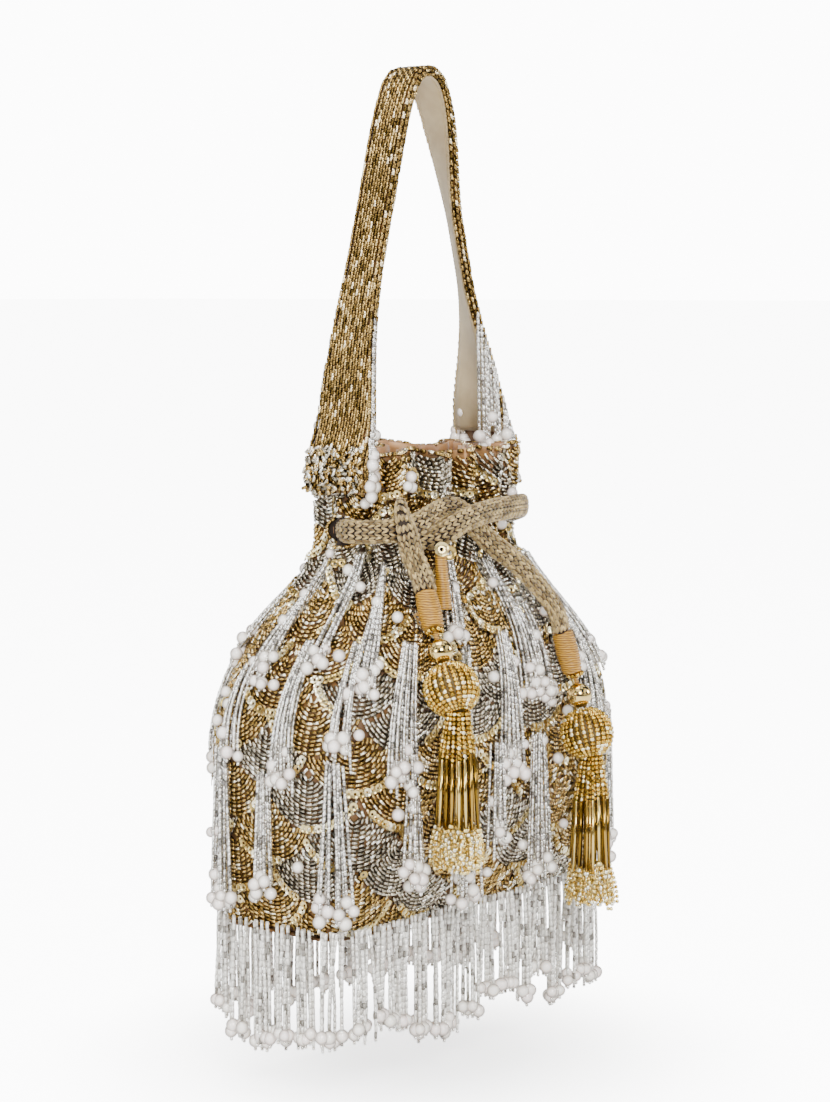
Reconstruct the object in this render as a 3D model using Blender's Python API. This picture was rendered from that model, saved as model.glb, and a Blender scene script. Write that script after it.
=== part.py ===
"""Potli bag: a gathered, bead-embroidered evening pouch with a strap handle, a knitted drawcord
that ends in two beaded tassels, and bead fringe tassels sewn all over it.

Metres, +Z up. The origin is the underside of the handle at its top, where a hand or a hook
holds the bag. The wide front of the pouch faces -Y and its narrow ends face -X and +X.
"""
import math

import bmesh
import bpy
import numpy as np
from mathutils import Matrix, Vector

# ---- Driving dimensions ---------------------------------------------------------------------
HANDLE_DROP = 0.145          # grip down to the mouth's rim
POUCH_HEIGHT = 0.181         # rim down to the underside of the pouch wall
BASE_WIDTH, BASE_DEPTH = 0.166, 0.060
BELLY_WIDTH, BELLY_DEPTH = 0.172, 0.092
NECK_WIDTH, NECK_DEPTH = 0.090, 0.057
BELLY_ABOVE_BASE = 0.064
NECK_BELOW_RIM = 0.035
CORD_BELOW_RIM = 0.031       # height of the drawcord's casing

WALL = 0.0015                # embroidered fabric with its beadwork
LINING = 0.0008
BOARD = 0.0018
GAP = 0.0003                 # left between pieces that touch
LINING_GAP = 0.0008          # between the wall and the lining behind it

STRAP_THICK = 0.0020
STRAP_LINING_THICK = 0.0010
STRAP_GAP = 0.0009           # between the strap and its lining, open where the strap twists
STRAP_WIDTH, STRAP_END_WIDTH = 0.016, 0.029
STRAP_TWIST = math.radians(42)
STRAP_OVERLAP = 0.016        # strap sewn over the outside of the rim

CORD_RADIUS = 0.0036
CASING_CORD_RADIUS = 0.0024
SLOT_WIDTH, SLOT_HEIGHT = 0.018, 0.011

METAL_BEAD_RADIUS = 0.0050
HEAD_RADIUS, HEAD_HALF_HEIGHT = 0.0109, 0.0100
BUGLE_LENGTH, LOOP_LENGTH = 0.040, 0.018
TASSEL_SWING_GAP = 0.0010

FRINGE_LENGTH = 0.058
BASE_FRINGE_DROP = 0.053     # fringe below the pouch's base
PEARL_RADIUS = 0.0026

# ---- Levels worked out from the dimensions --------------------------------------------------
Z_MOUTH = -HANDLE_DROP
Z_BASE = Z_MOUTH - POUCH_HEIGHT
Z_BELLY = Z_BASE + BELLY_ABOVE_BASE
Z_NECK = Z_MOUTH - NECK_BELOW_RIM
Z_CORD = Z_MOUTH - CORD_BELOW_RIM


def clear_scene():
    for old in list(bpy.data.objects):
        bpy.data.objects.remove(old, do_unlink=True)


# ---- Materials ------------------------------------------------------------------------------
def finish(name, colour, roughness, metallic=0.0):
    """A Principled material with one colour, roughness and metallic value."""
    material = bpy.data.materials.new(name)
    material.use_nodes = True
    shader = material.node_tree.nodes["Principled BSDF"]
    shader.inputs["Base Color"].default_value = (*colour, 1.0)
    shader.inputs["Roughness"].default_value = roughness
    shader.inputs["Metallic"].default_value = metallic
    material.diffuse_color = (*colour, 1.0)
    return material


def gold_beadwork():
    return finish("gold_beadwork", (0.42, 0.27, 0.10), 0.30, 0.6)


def strap_beadwork():
    return finish("strap_beadwork", (0.36, 0.23, 0.11), 0.30, 0.6)


def satin():
    return finish("satin", (0.40, 0.27, 0.15), 0.45)


def strap_satin():
    return finish("strap_satin", (0.38, 0.30, 0.20), 0.50)


def board():
    return finish("board", (0.45, 0.38, 0.28), 0.80)


def knitted_cord():
    return finish("knitted_cord", (0.55, 0.43, 0.24), 0.35, 0.5)


def tan_thread():
    return finish("tan_thread", (0.60, 0.32, 0.09), 0.55)


def polished_gold():
    return finish("polished_gold", (0.85, 0.62, 0.25), 0.08, 1.0)


def seed_beads():
    return finish("seed_beads", (0.62, 0.42, 0.12), 0.22, 0.7)


def bugle_beads():
    return finish("bugle_beads", (0.50, 0.30, 0.07), 0.20, 0.7)


def silver_fringe():
    return finish("silver_fringe", (0.70, 0.69, 0.66), 0.20, 0.3)


# ---- Mesh helpers ---------------------------------------------------------------------------
def add_object(name, data, material, origin=(0.0, 0.0, 0.0)):
    piece = bpy.data.objects.new(name, data)
    piece.location = origin
    data.materials.append(material)
    bpy.context.scene.collection.objects.link(piece)
    return piece


def mesh_from(bm, name, smooth_degrees=40):
    bmesh.ops.recalc_face_normals(bm, faces=bm.faces)
    mesh = bpy.data.meshes.new(name)
    bm.to_mesh(mesh)
    bm.free()
    mesh.shade_smooth()
    mesh.set_sharp_from_angle(angle=math.radians(smooth_degrees))
    return mesh


def loft(name, rings, cap_start=True, cap_end=True):
    """A skin through closed rings of points, with a flat cap on each end that is asked for."""
    bm = bmesh.new()
    loops = [[bm.verts.new(point) for point in ring] for ring in rings]
    count = len(loops[0])
    for upper, lower in zip(loops, loops[1:]):
        for i in range(count):
            j = (i + 1) % count
            bm.faces.new((upper[i], upper[j], lower[j], lower[i]))
    if cap_start:
        bm.faces.new(loops[0])
    if cap_end:
        bm.faces.new(list(reversed(loops[-1])))
    return mesh_from(bm, name)


def turned(name, profile, segments=16):
    """A solid of revolution about Z; profile is (radius, height) from one pole to the other."""
    bm = bmesh.new()
    points = [bm.verts.new((radius, 0.0, height)) for radius, height in profile]
    edges = [bm.edges.new(pair) for pair in zip(points, points[1:])]
    bmesh.ops.spin(bm, geom=points + edges, cent=(0, 0, 0), axis=(0, 0, 1),
                   angle=2 * math.pi, steps=segments, use_merge=True)
    bmesh.ops.remove_doubles(bm, verts=bm.verts, dist=0.000005)
    return mesh_from(bm, name)


def smooth_route(points, count):
    """Evenly spaced points on a Catmull-Rom curve through the given ones."""
    knots = np.array(points, float)
    ends = np.vstack([2 * knots[0] - knots[1], knots, 2 * knots[-1] - knots[-2]])
    fine = []
    for i in range(len(knots) - 1):
        a, b, c, d = ends[i:i + 4]
        for t in np.linspace(0, 1, 24, endpoint=False):
            fine.append(0.5 * (2 * b + (c - a) * t + (2 * a - 5 * b + 4 * c - d) * t ** 2
                               + (3 * b - a - 3 * c + d) * t ** 3))
    fine = np.array(fine + [knots[-1]])
    steps = np.linalg.norm(np.diff(fine[:, :3], axis=0), axis=1)
    along = np.concatenate([[0], np.cumsum(steps)])
    wanted = np.linspace(0, along[-1], count)
    return np.column_stack([np.interp(wanted, along, fine[:, k]) for k in range(fine.shape[1])])


def cord_tube(name, route, count, material):
    """A round tube along a route of (x, y, z, radius)."""
    curve = bpy.data.curves.new(name, "CURVE")
    curve.dimensions = "3D"
    curve.bevel_depth = CORD_RADIUS
    curve.bevel_resolution = 2
    curve.use_fill_caps = True
    spline = curve.splines.new("POLY")
    points = smooth_route(route, count)
    spline.points.add(count - 1)
    for slot, (x, y, z, radius) in zip(spline.points, points):
        slot.co = (x, y, z, 1.0)
        slot.radius = radius / CORD_RADIUS
    return add_object(name, curve, material)


# ---- The pouch's form -----------------------------------------------------------------------
def ease(t):
    t = min(max(t, 0.0), 1.0)
    return t * t * (3 - 2 * t)


def pouch_section(z):
    """Half width, half depth and squareness of the pouch's outline at a height."""
    if z <= Z_BELLY:
        rise = math.sin(max(z - Z_BASE, 0.0) / BELLY_ABOVE_BASE * math.pi / 2)
        half_x = (BASE_WIDTH + (BELLY_WIDTH - BASE_WIDTH) * rise) / 2
        half_y = (BASE_DEPTH + (BELLY_DEPTH - BASE_DEPTH) * rise) / 2
        return half_x, half_y, 9.0 - 4.5 * rise
    t = min((z - Z_BELLY) / (Z_NECK - Z_BELLY), 1.0)
    half_x = (BELLY_WIDTH + (NECK_WIDTH - BELLY_WIDTH) * ease(t ** 1.35)) / 2
    half_y = (BELLY_DEPTH + (NECK_DEPTH - BELLY_DEPTH) * ease(t ** 2.0)) / 2
    return half_x, half_y, 4.5 - 2.2 * t


def outline(z, inset=0.0, count=40):
    """Points round the pouch at a height, from the middle of its front, evenly spaced."""
    half_x, half_y, power = pouch_section(z)
    half_x, half_y = half_x - inset, half_y - inset
    turn = np.linspace(0, 2 * math.pi, 721) - math.pi / 2
    c, s = np.cos(turn), np.sin(turn)
    x = half_x * np.sign(c) * np.abs(c) ** (2 / power)
    y = half_y * np.sign(s) * np.abs(s) ** (2 / power)
    along = np.concatenate([[0], np.cumsum(np.hypot(np.diff(x), np.diff(y)))])
    wanted = np.arange(count) / count * along[-1]
    return np.column_stack([np.interp(wanted, along, x), np.interp(wanted, along, y)])


def ring(z, inset=0.0, count=40):
    return [(x, y, z) for x, y in outline(z, inset, count)]


def pouch_point(z, fraction, offset=0.0):
    """A point at a fraction of the way round, moved out by an offset, and its outward normal."""
    points = outline(z, 0.0, 240)
    i = int(round(fraction * 240)) % 240
    tangent = Vector((*(points[(i + 2) % 240] - points[i - 2]), 0.0)).normalized()
    normal = Vector((tangent.y, -tangent.x, 0.0))
    return Vector((*points[i], z)) + normal * offset, normal


def lining_inset(z):
    """The lining lies behind the wall and bulges in behind the drawcord's casing."""
    channel = 0.0062 * math.exp(-((z - Z_CORD) / 0.009) ** 2)
    return WALL + LINING_GAP + channel


def levels(bottom, top, count):
    return [bottom + (top - bottom) * i / (count - 1) for i in range(count)]


def wall_heights(bottom):
    """Heights of the rings that the wall and the lining are lofted through."""
    lower = [bottom] + levels(Z_BASE, Z_BELLY, 5)[1:]
    casing = [Z_CORD, Z_CORD + 0.008, Z_CORD + 0.018, Z_MOUTH]
    return lower + levels(Z_BELLY, Z_NECK, 9)[1:] + casing


def casing_slot(side):
    """Cutter for the slot where the drawcord leaves its casing, at one end of the pouch."""
    bm = bmesh.new()
    bmesh.ops.create_cube(bm, size=1.0)
    scale = Matrix.Diagonal((0.016, SLOT_WIDTH, SLOT_HEIGHT, 1.0))
    bmesh.ops.transform(bm, matrix=scale, verts=bm.verts)
    bmesh.ops.bevel(bm, geom=[e for e in bm.edges if abs(e.verts[0].co.x - e.verts[1].co.x) > 0.01],
                    offset=0.004, segments=2, affect="EDGES")
    cutter = bpy.data.objects.new(f"slot_cutter_{'right' if side > 0 else 'left'}",
                                  mesh_from(bm, "slot_cutter"))
    cutter.location = (side * (NECK_WIDTH / 2 + 0.001), -0.001, Z_CORD)
    cutter.hide_render = True
    cutter.display_type = "WIRE"
    bpy.context.scene.collection.objects.link(cutter)
    return cutter


def make_outer_pouch():
    heights = wall_heights(Z_BASE)
    outer = [ring(z) for z in heights]
    inner = [ring(z, WALL) for z in reversed(heights)]
    skin = loft("outer_pouch", outer + inner + outer[:1], False, False)
    bm = bmesh.new()
    bm.from_mesh(skin)
    bmesh.ops.remove_doubles(bm, verts=bm.verts, dist=0.00001)
    bpy.data.meshes.remove(skin)
    pouch = add_object("outer_pouch", mesh_from(bm, "outer_pouch"), gold_beadwork())
    for side in (-1, 1):
        cut = pouch.modifiers.new("casing_slot", "BOOLEAN")
        cut.operation = "DIFFERENCE"
        cut.object = casing_slot(side)


def make_base_panel():
    top = Z_BASE - GAP
    rings = [ring(Z_BASE, 0.0), ring(Z_BASE, 0.0)]
    rings[0] = [(x, y, top) for x, y, _ in rings[0]]
    rings[1] = [(x, y, top - WALL) for x, y, _ in rings[1]]
    add_object("base_panel", loft("base_panel", rings), gold_beadwork())


def make_base_board():
    low = Z_BASE + GAP
    rings = []
    for z in (low, low + BOARD):
        rings.append([(x, y, z) for x, y, _ in ring(Z_BASE, WALL + GAP + 0.0004)])
    add_object("base_board", loft("base_board", rings), board())


def make_lining():
    floor = Z_BASE + BOARD + 3 * GAP
    heights = wall_heights(floor)
    outer = [ring(z, lining_inset(z)) for z in reversed(heights)]
    heights[0] = floor + LINING
    inner = [ring(z, lining_inset(z) + LINING) for z in heights]
    bm = bmesh.new()
    rows = [[bm.verts.new(p) for p in loop] for loop in outer + inner]
    count = len(rows[0])
    middle = len(outer)
    for k in range(len(rows)):
        if k == middle - 1:
            continue
        upper, lower = rows[k], rows[(k + 1) % len(rows)]
        for i in range(count):
            j = (i + 1) % count
            bm.faces.new((upper[i], upper[j], lower[j], lower[i]))
    bm.faces.new(rows[middle - 1])
    bm.faces.new(rows[middle])
    add_object("lining", mesh_from(bm, "lining"), satin())


# ---- The handle -----------------------------------------------------------------------------
def handle_route(lift=0.0):
    """Centre line of the strap from its left end, over the grip, to its right end."""
    end_x = NECK_WIDTH / 2 + STRAP_THICK / 2 + 0.0014
    half = [(0.0, 0.0), (0.0075, -0.0035), (0.0130, -0.0135), (0.0180, -0.0290), (0.0236, -0.0500),
            (0.0296, -0.0720), (0.0350, -0.0930), (0.0390, -0.1140), (0.0420, -0.1360),
            (end_x - 0.0008, Z_MOUTH - 0.0020), (end_x, Z_MOUTH - 0.5 * STRAP_OVERLAP),
            (end_x, Z_MOUTH - STRAP_OVERLAP)]
    left = [(-x, z + lift) for x, z in reversed(half)]
    return left + [(x, z + lift) for x, z in half[1:]]


def strap_frames(count):
    """Position, width direction, outward direction, width and share of length along the strap."""
    top = STRAP_THICK / 2 + STRAP_LINING_THICK + STRAP_GAP
    route = smooth_route([(x, 0.0, z) for x, z in handle_route(top)], count)
    frames = []
    for i, point in enumerate(route):
        tangent = Vector(route[min(i + 1, count - 1)] - route[max(i - 1, 0)]).normalized()
        outward = Vector((-tangent.z, 0.0, tangent.x)).normalized()
        share = i / (count - 1)
        twist = STRAP_TWIST * ease((share - 0.52) / 0.18) * ease((0.95 - share) / 0.2)
        turn = Matrix.Rotation(twist, 3, tangent)
        end = abs(share - 0.5) * 2
        width = STRAP_WIDTH + (STRAP_END_WIDTH - STRAP_WIDTH) * ease((end - 0.45) / 0.52)
        frames.append((Vector(point), turn @ Vector((0.0, 1.0, 0.0)), turn @ outward, width))
    return frames


def strap_band(name, frames, low, high, material):
    """A flat band between two offsets from the strap's centre line."""
    rings = []
    for centre, across, outward, width in frames:
        half = width / 2
        rings.append([centre + across * side * half + outward * offset
                      for side, offset in ((-1, low), (1, low), (1, high), (-1, high))])
    add_object(name, loft(name, rings), material)


def make_handle():
    frames = strap_frames(85)
    strap_band("handle_strap", frames, -STRAP_THICK / 2, STRAP_THICK / 2, strap_beadwork())
    above_rim = [f for f in frames if f[0].z > Z_MOUTH + 0.003]
    high = -STRAP_THICK / 2 - STRAP_GAP
    strap_band("handle_lining", above_rim, high - STRAP_LINING_THICK, high, strap_satin())


# ---- The drawcord ---------------------------------------------------------------------------
THIN, FULL = 0.0025, CORD_RADIUS

# The left cord leaves its slot, crosses the front between the two runs of the right cord, and
# hangs down the front with the right tassel on its end.
LEFT_ROUTE = [
    (-0.0400, 0.0050, -0.1760, THIN), (-0.0420, 0.0012, -0.1758, THIN),
    (-0.0458, -0.0028, -0.1756, THIN), (-0.0472, -0.0088, -0.1755, THIN),
    (-0.0450, -0.0155, -0.1754, THIN), (-0.0424, -0.0222, -0.1749, THIN),
    (-0.0388, -0.0272, -0.1742, THIN), (-0.0330, -0.0298, -0.1722, THIN),
    (-0.0252, -0.0300, -0.1694, THIN), (-0.0168, -0.0306, -0.1672, THIN),
    (-0.0099, -0.0311, -0.1688, THIN), (-0.0041, -0.0317, -0.1729, THIN),
    (0.0003, -0.0328, -0.1772, THIN), (0.0056, -0.0360, -0.1830, 0.0030),
    (0.0130, -0.0412, -0.1900, FULL), (0.0214, -0.0452, -0.1990, FULL),
    (0.0284, -0.0490, -0.2094, FULL), (0.0308, -0.0508, -0.2190, FULL),
]
# The right cord passes in front of the left one, turns up behind it and over its top, and
# hangs down in front of it with the left tassel on its end.
RIGHT_ROUTE = [
    (0.0400, 0.0050, -0.1760, THIN), (0.0420, 0.0012, -0.1758, THIN),
    (0.0456, -0.0028, -0.1750, THIN), (0.0482, -0.0085, -0.1738, THIN),
    (0.0462, -0.0165, -0.1716, THIN), (0.0375, -0.0254, -0.1696, THIN),
    (0.0260, -0.0315, -0.1688, THIN), (0.0148, -0.0346, -0.1688, THIN),
    (0.0013, -0.0366, -0.1692, THIN), (-0.0079, -0.0370, -0.1704, THIN),
    (-0.0158, -0.0364, -0.1726, THIN), (-0.0221, -0.0342, -0.1760, THIN),
    (-0.0268, -0.0300, -0.1782, THIN), (-0.0306, -0.0262, -0.1772, THIN),
    (-0.0337, -0.0240, -0.1738, THIN), (-0.0358, -0.0232, -0.1694, THIN),
    (-0.0394, -0.0262, -0.1666, THIN), (-0.0432, -0.0302, -0.1686, THIN),
    (-0.0436, -0.0322, -0.1732, THIN), (-0.0412, -0.0316, -0.1780, THIN),
    (-0.0382, -0.0304, -0.1828, 0.0030), (-0.0366, -0.0316, -0.1878, FULL),
    (-0.0364, -0.0342, -0.1928, FULL), (-0.0378, -0.0372, -0.1985, FULL),
]


def make_drawcord():
    knit = knitted_cord()
    cord_tube("drawcord_left", LEFT_ROUTE, 40, knit)
    cord_tube("drawcord_right", RIGHT_ROUTE, 52, knit)
    casing = []
    inset = WALL + 0.0004 + CASING_CORD_RADIUS
    for fraction in np.linspace(0.295, 0.705, 15):
        points = outline(Z_CORD, inset, 240)
        x, y = points[int(round(fraction * 240)) % 240]
        casing.append((x, y, Z_CORD, CASING_CORD_RADIUS))
    cord_tube("drawcord_casing_run", casing, 24, knit)


# ---- The two cord-end tassels ---------------------------------------------------------------
def along_axis(direction):
    """Rotation that turns -Z to a direction."""
    return Vector((0.0, 0.0, -1.0)).rotation_difference(Vector(direction)).to_matrix().to_4x4()


def place_turned(name, profile, start, direction, material, origin, segments=16):
    """A turned piece whose profile runs down from a point in a direction."""
    mesh = turned(name, [(radius, -depth) for radius, depth in profile], segments)
    mesh.transform(Matrix.Translation(Vector(start) - Vector(origin)) @ along_axis(direction))
    return add_object(name, mesh, material, origin)


def ball_profile(radius, half_height, count):
    return [(radius * math.sin(math.pi * i / count), half_height * (1 - math.cos(math.pi * i / count)))
            for i in range(count + 1)]


def ring_profile(ring_radius, thick, count=8):
    turns = [2 * math.pi * i / count for i in range(count + 1)]
    return [(ring_radius + thick * math.sin(a), thick * (1 - math.cos(a))) for a in turns]


def make_cord_tassel(side, route, wrap_length, swing_lean):
    """Thread wrap and bead ring on the cord's end, and the swinging tassel below them."""
    tan, gold, seeds, bugles = tan_thread(), polished_gold(), seed_beads(), bugle_beads()
    tip, before = Vector(route[-1][:3]), Vector(route[-2][:3])
    cord_way = (tip - before).normalized()
    wrap_top = tip + cord_way * GAP
    wrap = [(0.0, 0.0), (0.0034, 0.0), (0.0042, 0.0020), (0.0044, wrap_length * 0.5),
            (0.0040, wrap_length - 0.0015), (0.0028, wrap_length), (0.0, wrap_length)]
    place_turned(f"thread_wrap_{side}", wrap, wrap_top, cord_way, tan, wrap_top)

    ring_top = wrap_top + cord_way * (wrap_length + GAP)
    place_turned(f"bead_ring_{side}", ring_profile(0.0017, 0.0008), ring_top, cord_way, seeds,
                 ring_top, 12)

    pivot = ring_top + cord_way * 0.0008
    lean = Vector(swing_lean).normalized()
    down = Vector((0.0, 0.0, -1.0))
    bead_top = pivot + lean * (0.0026 + TASSEL_SWING_GAP)
    place_turned(f"metal_bead_{side}", ball_profile(METAL_BEAD_RADIUS, METAL_BEAD_RADIUS, 8),
                 bead_top, lean, gold, pivot, 16)
    head_top = bead_top + lean * (2 * METAL_BEAD_RADIUS + GAP)
    place_turned(f"tassel_head_{side}", ball_profile(HEAD_RADIUS, HEAD_HALF_HEIGHT, 10),
                 head_top, lean, seeds, pivot, 20)
    skirt_top = head_top + lean * (2 * HEAD_HALF_HEIGHT) + down * 0.0022
    skirt = [(0.0, 0.0), (0.0046, 0.0), (0.0058, 0.0060), (0.0072, 0.0160),
             (0.0080, BUGLE_LENGTH), (0.0, BUGLE_LENGTH)]
    place_turned(f"tassel_bugles_{side}", skirt, skirt_top, down, bugles, pivot, 18)
    loops_top = skirt_top + down * (BUGLE_LENGTH + GAP)
    loops = [(0.0, 0.0), (0.0078, 0.0), (0.0100, 0.010), (0.0098, LOOP_LENGTH * 0.85),
             (0.0060, LOOP_LENGTH), (0.0, LOOP_LENGTH)]
    place_turned(f"tassel_loops_{side}", loops, loops_top, down, seeds, pivot, 18)


# ---- The bead fringe ------------------------------------------------------------------------
def hanging_path(start, normal, fraction, length, stations=8):
    """Points down a strand that lies on the pouch where it widens and hangs straight below."""
    place = Vector(start)
    points = [place.copy()]
    step = 0.001
    travelled = 0.0
    offset = 0.0030
    while travelled < length:
        below = place + Vector((0.0, 0.0, -step))
        if fraction is not None and Z_BASE < below.z < Z_MOUTH:
            surface, normal = pouch_point(below.z, fraction, offset)
            if (surface - below).dot(normal) > 0:
                below = surface
        travelled += (below - place).length
        place = below
        points.append(place.copy())
    keep = np.linspace(0, len(points) - 1, stations).round().astype(int)
    return [points[i] for i in keep], normal


def make_fringe_tassel(name, start, normal, fraction, length, material):
    """A bunch of bead strands gathered at its stitch, with a cluster of pearls at its end."""
    path, normal = hanging_path(start, normal, fraction, length)
    across = Vector((-normal.y, normal.x, 0.0))
    widths = [0.0012, 0.0024, 0.0032, 0.0038, 0.0042, 0.0044, 0.0052, 0.0030]
    depths = [0.0009, 0.0014, 0.0017, 0.0019, 0.0020, 0.0020, PEARL_RADIUS, 0.0016]
    rings = []
    for point, wide, deep in zip(path, widths, depths):
        rings.append([point + across * wide * math.cos(a) + normal * deep * math.sin(a)
                      for a in np.linspace(0, 2 * math.pi, 6, endpoint=False)])
    add_object(name, loft(name, rings), material)


def make_body_fringe():
    """Three rows sewn round the shoulder and belly, each in its own columns, and the base row."""
    rows = {
        "neck": (Z_NECK - 0.008, FRINGE_LENGTH * 1.05, [0.035, 0.155, 0.300, 0.445, 0.585, 0.725, 0.830]),
        "shoulder": (Z_NECK - 0.036, FRINGE_LENGTH * 1.05,
                     [0.000, 0.120, 0.240, 0.375, 0.500, 0.640, 0.770, 0.870]),
        "belly": (Z_NECK - 0.078, FRINGE_LENGTH * 1.10,
                  [0.040, 0.180, 0.310, 0.445, 0.560, 0.700, 0.815, 0.940]),
    }
    silver = silver_fringe()
    for row, (top, length, fractions) in rows.items():
        for number, fraction in enumerate(fractions, 1):
            start, normal = pouch_point(top, fraction, 0.0030)
            make_fringe_tassel(f"fringe_{row}_{number}", start, normal, fraction, length, silver)
    count = 10
    for number in range(count):
        fraction = (number + 0.5) / count
        start, normal = pouch_point(Z_BASE + 0.003, fraction, 0.0030)
        length = start.z - (Z_BASE - BASE_FRINGE_DROP)
        make_fringe_tassel(f"fringe_base_{number + 1}", start, normal, None, length, silver)


def make_handle_fringe():
    """Four tassels that hang from the strap's edges, clear of it."""
    silver = silver_fringe()
    frames = strap_frames(85)
    for side, label in ((-1, "left"), (1, "right")):
        for edge, place, drop in ((-1, 0.095, 0.043), (1, 0.118, 0.021)):
            options = [f for f in frames if f[0].x * side > 0]
            centre, across, outward, width = min(options, key=lambda f: abs(f[0].z + place))
            start = centre + across * edge * (width / 2 + 0.0024)
            if side < 0:
                start.x += 0.0050
            else:
                start.x += 0.0072 * edge
            name = f"fringe_handle_{label}_{'front' if edge < 0 else 'back'}"
            make_fringe_tassel(name, start, Vector((0.0, float(edge), 0.0)), None, drop, silver)


def main():
    clear_scene()
    make_outer_pouch()
    make_base_panel()
    make_base_board()
    make_lining()
    make_handle()
    make_drawcord()
    make_cord_tassel("left", RIGHT_ROUTE, 0.0140, (-0.20, -0.56, -1.0))
    make_cord_tassel("right", LEFT_ROUTE, 0.0160, (-0.05, -0.30, -1.0))
    make_body_fringe()
    make_handle_fringe()


main()
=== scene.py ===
import math

import bpy
import numpy as np
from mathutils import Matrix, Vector


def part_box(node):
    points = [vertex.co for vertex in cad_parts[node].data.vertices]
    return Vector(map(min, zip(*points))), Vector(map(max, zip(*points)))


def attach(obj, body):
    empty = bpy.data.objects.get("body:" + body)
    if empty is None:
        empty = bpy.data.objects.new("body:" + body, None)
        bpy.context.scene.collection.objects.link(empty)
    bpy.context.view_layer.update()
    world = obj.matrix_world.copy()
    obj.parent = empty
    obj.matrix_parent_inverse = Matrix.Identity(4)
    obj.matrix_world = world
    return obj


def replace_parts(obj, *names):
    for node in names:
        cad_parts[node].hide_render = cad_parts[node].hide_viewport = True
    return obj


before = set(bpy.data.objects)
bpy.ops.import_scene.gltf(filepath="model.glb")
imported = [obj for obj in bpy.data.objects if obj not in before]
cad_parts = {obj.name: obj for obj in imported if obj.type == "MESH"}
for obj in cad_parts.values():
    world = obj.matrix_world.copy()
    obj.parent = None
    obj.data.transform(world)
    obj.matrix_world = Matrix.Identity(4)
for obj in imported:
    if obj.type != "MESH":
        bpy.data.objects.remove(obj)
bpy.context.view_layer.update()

# A potli bag hung from its handle: a bead-embroidered satin pouch gathered on a knotted cord, a
# beaded strap handle, two gold tassels on the cord's ends, and silver bead fringe all over it.
# Metres, in the frame's own axes. Everything but the two swinging tassels rides on the bag.
rng = np.random.default_rng(12)

# ---- Studio: a white sweep of paper on the floor, a large soft box each side, a camera at the
# bag's left front corner, a little above the neck's height.
FLOOR_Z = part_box("fringe_base_1")[0][2] - 0.012
VIEW_CENTRE = Vector((0.0, 0.0, -0.1870))
VIEW_BACK = math.radians(-50), math.radians(5.5)
VIEW_DISTANCE = 1.09
LENS_MM = 89.0


def linear(code):
    """An sRGB hex colour as linear red, green, blue and 1."""
    parts = [int(code[i:i + 2], 16) / 255 for i in (1, 3, 5)]
    return tuple(c / 12.92 if c <= 0.04045 else ((c + 0.055) / 1.055) ** 2.4 for c in parts) + (1.0,)


def add_node(tree, kind, settings=(), links=()):
    """Adds a node. settings name its properties or sockets; links pair a socket with its source."""
    made = tree.nodes.new(kind)
    for name, value in dict(settings).items():
        if isinstance(name, str) and hasattr(made, name):
            setattr(made, name, value)
        else:
            made.inputs[name].default_value = value
    for name, source in dict(links).items():
        tree.links.new(source, made.inputs[name])
    return made


def new_material(name, settings):
    """A material, its node tree and its Principled shader with plain values set on it."""
    made = bpy.data.materials.new(name)
    made.use_nodes = True
    tree = made.node_tree
    shader = tree.nodes["Principled BSDF"]
    for socket, value in settings.items():
        shader.inputs[socket].default_value = value
    return made, tree, shader


def mesh_object(name, points, faces, material, smooth=True):
    mesh = bpy.data.meshes.new(name)
    mesh.from_pydata([tuple(p) for p in points], [], faces)
    mesh.materials.append(material)
    if smooth:
        mesh.shade_smooth()
    made = bpy.data.objects.new(name, mesh)
    bpy.context.scene.collection.objects.link(made)
    return made


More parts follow.
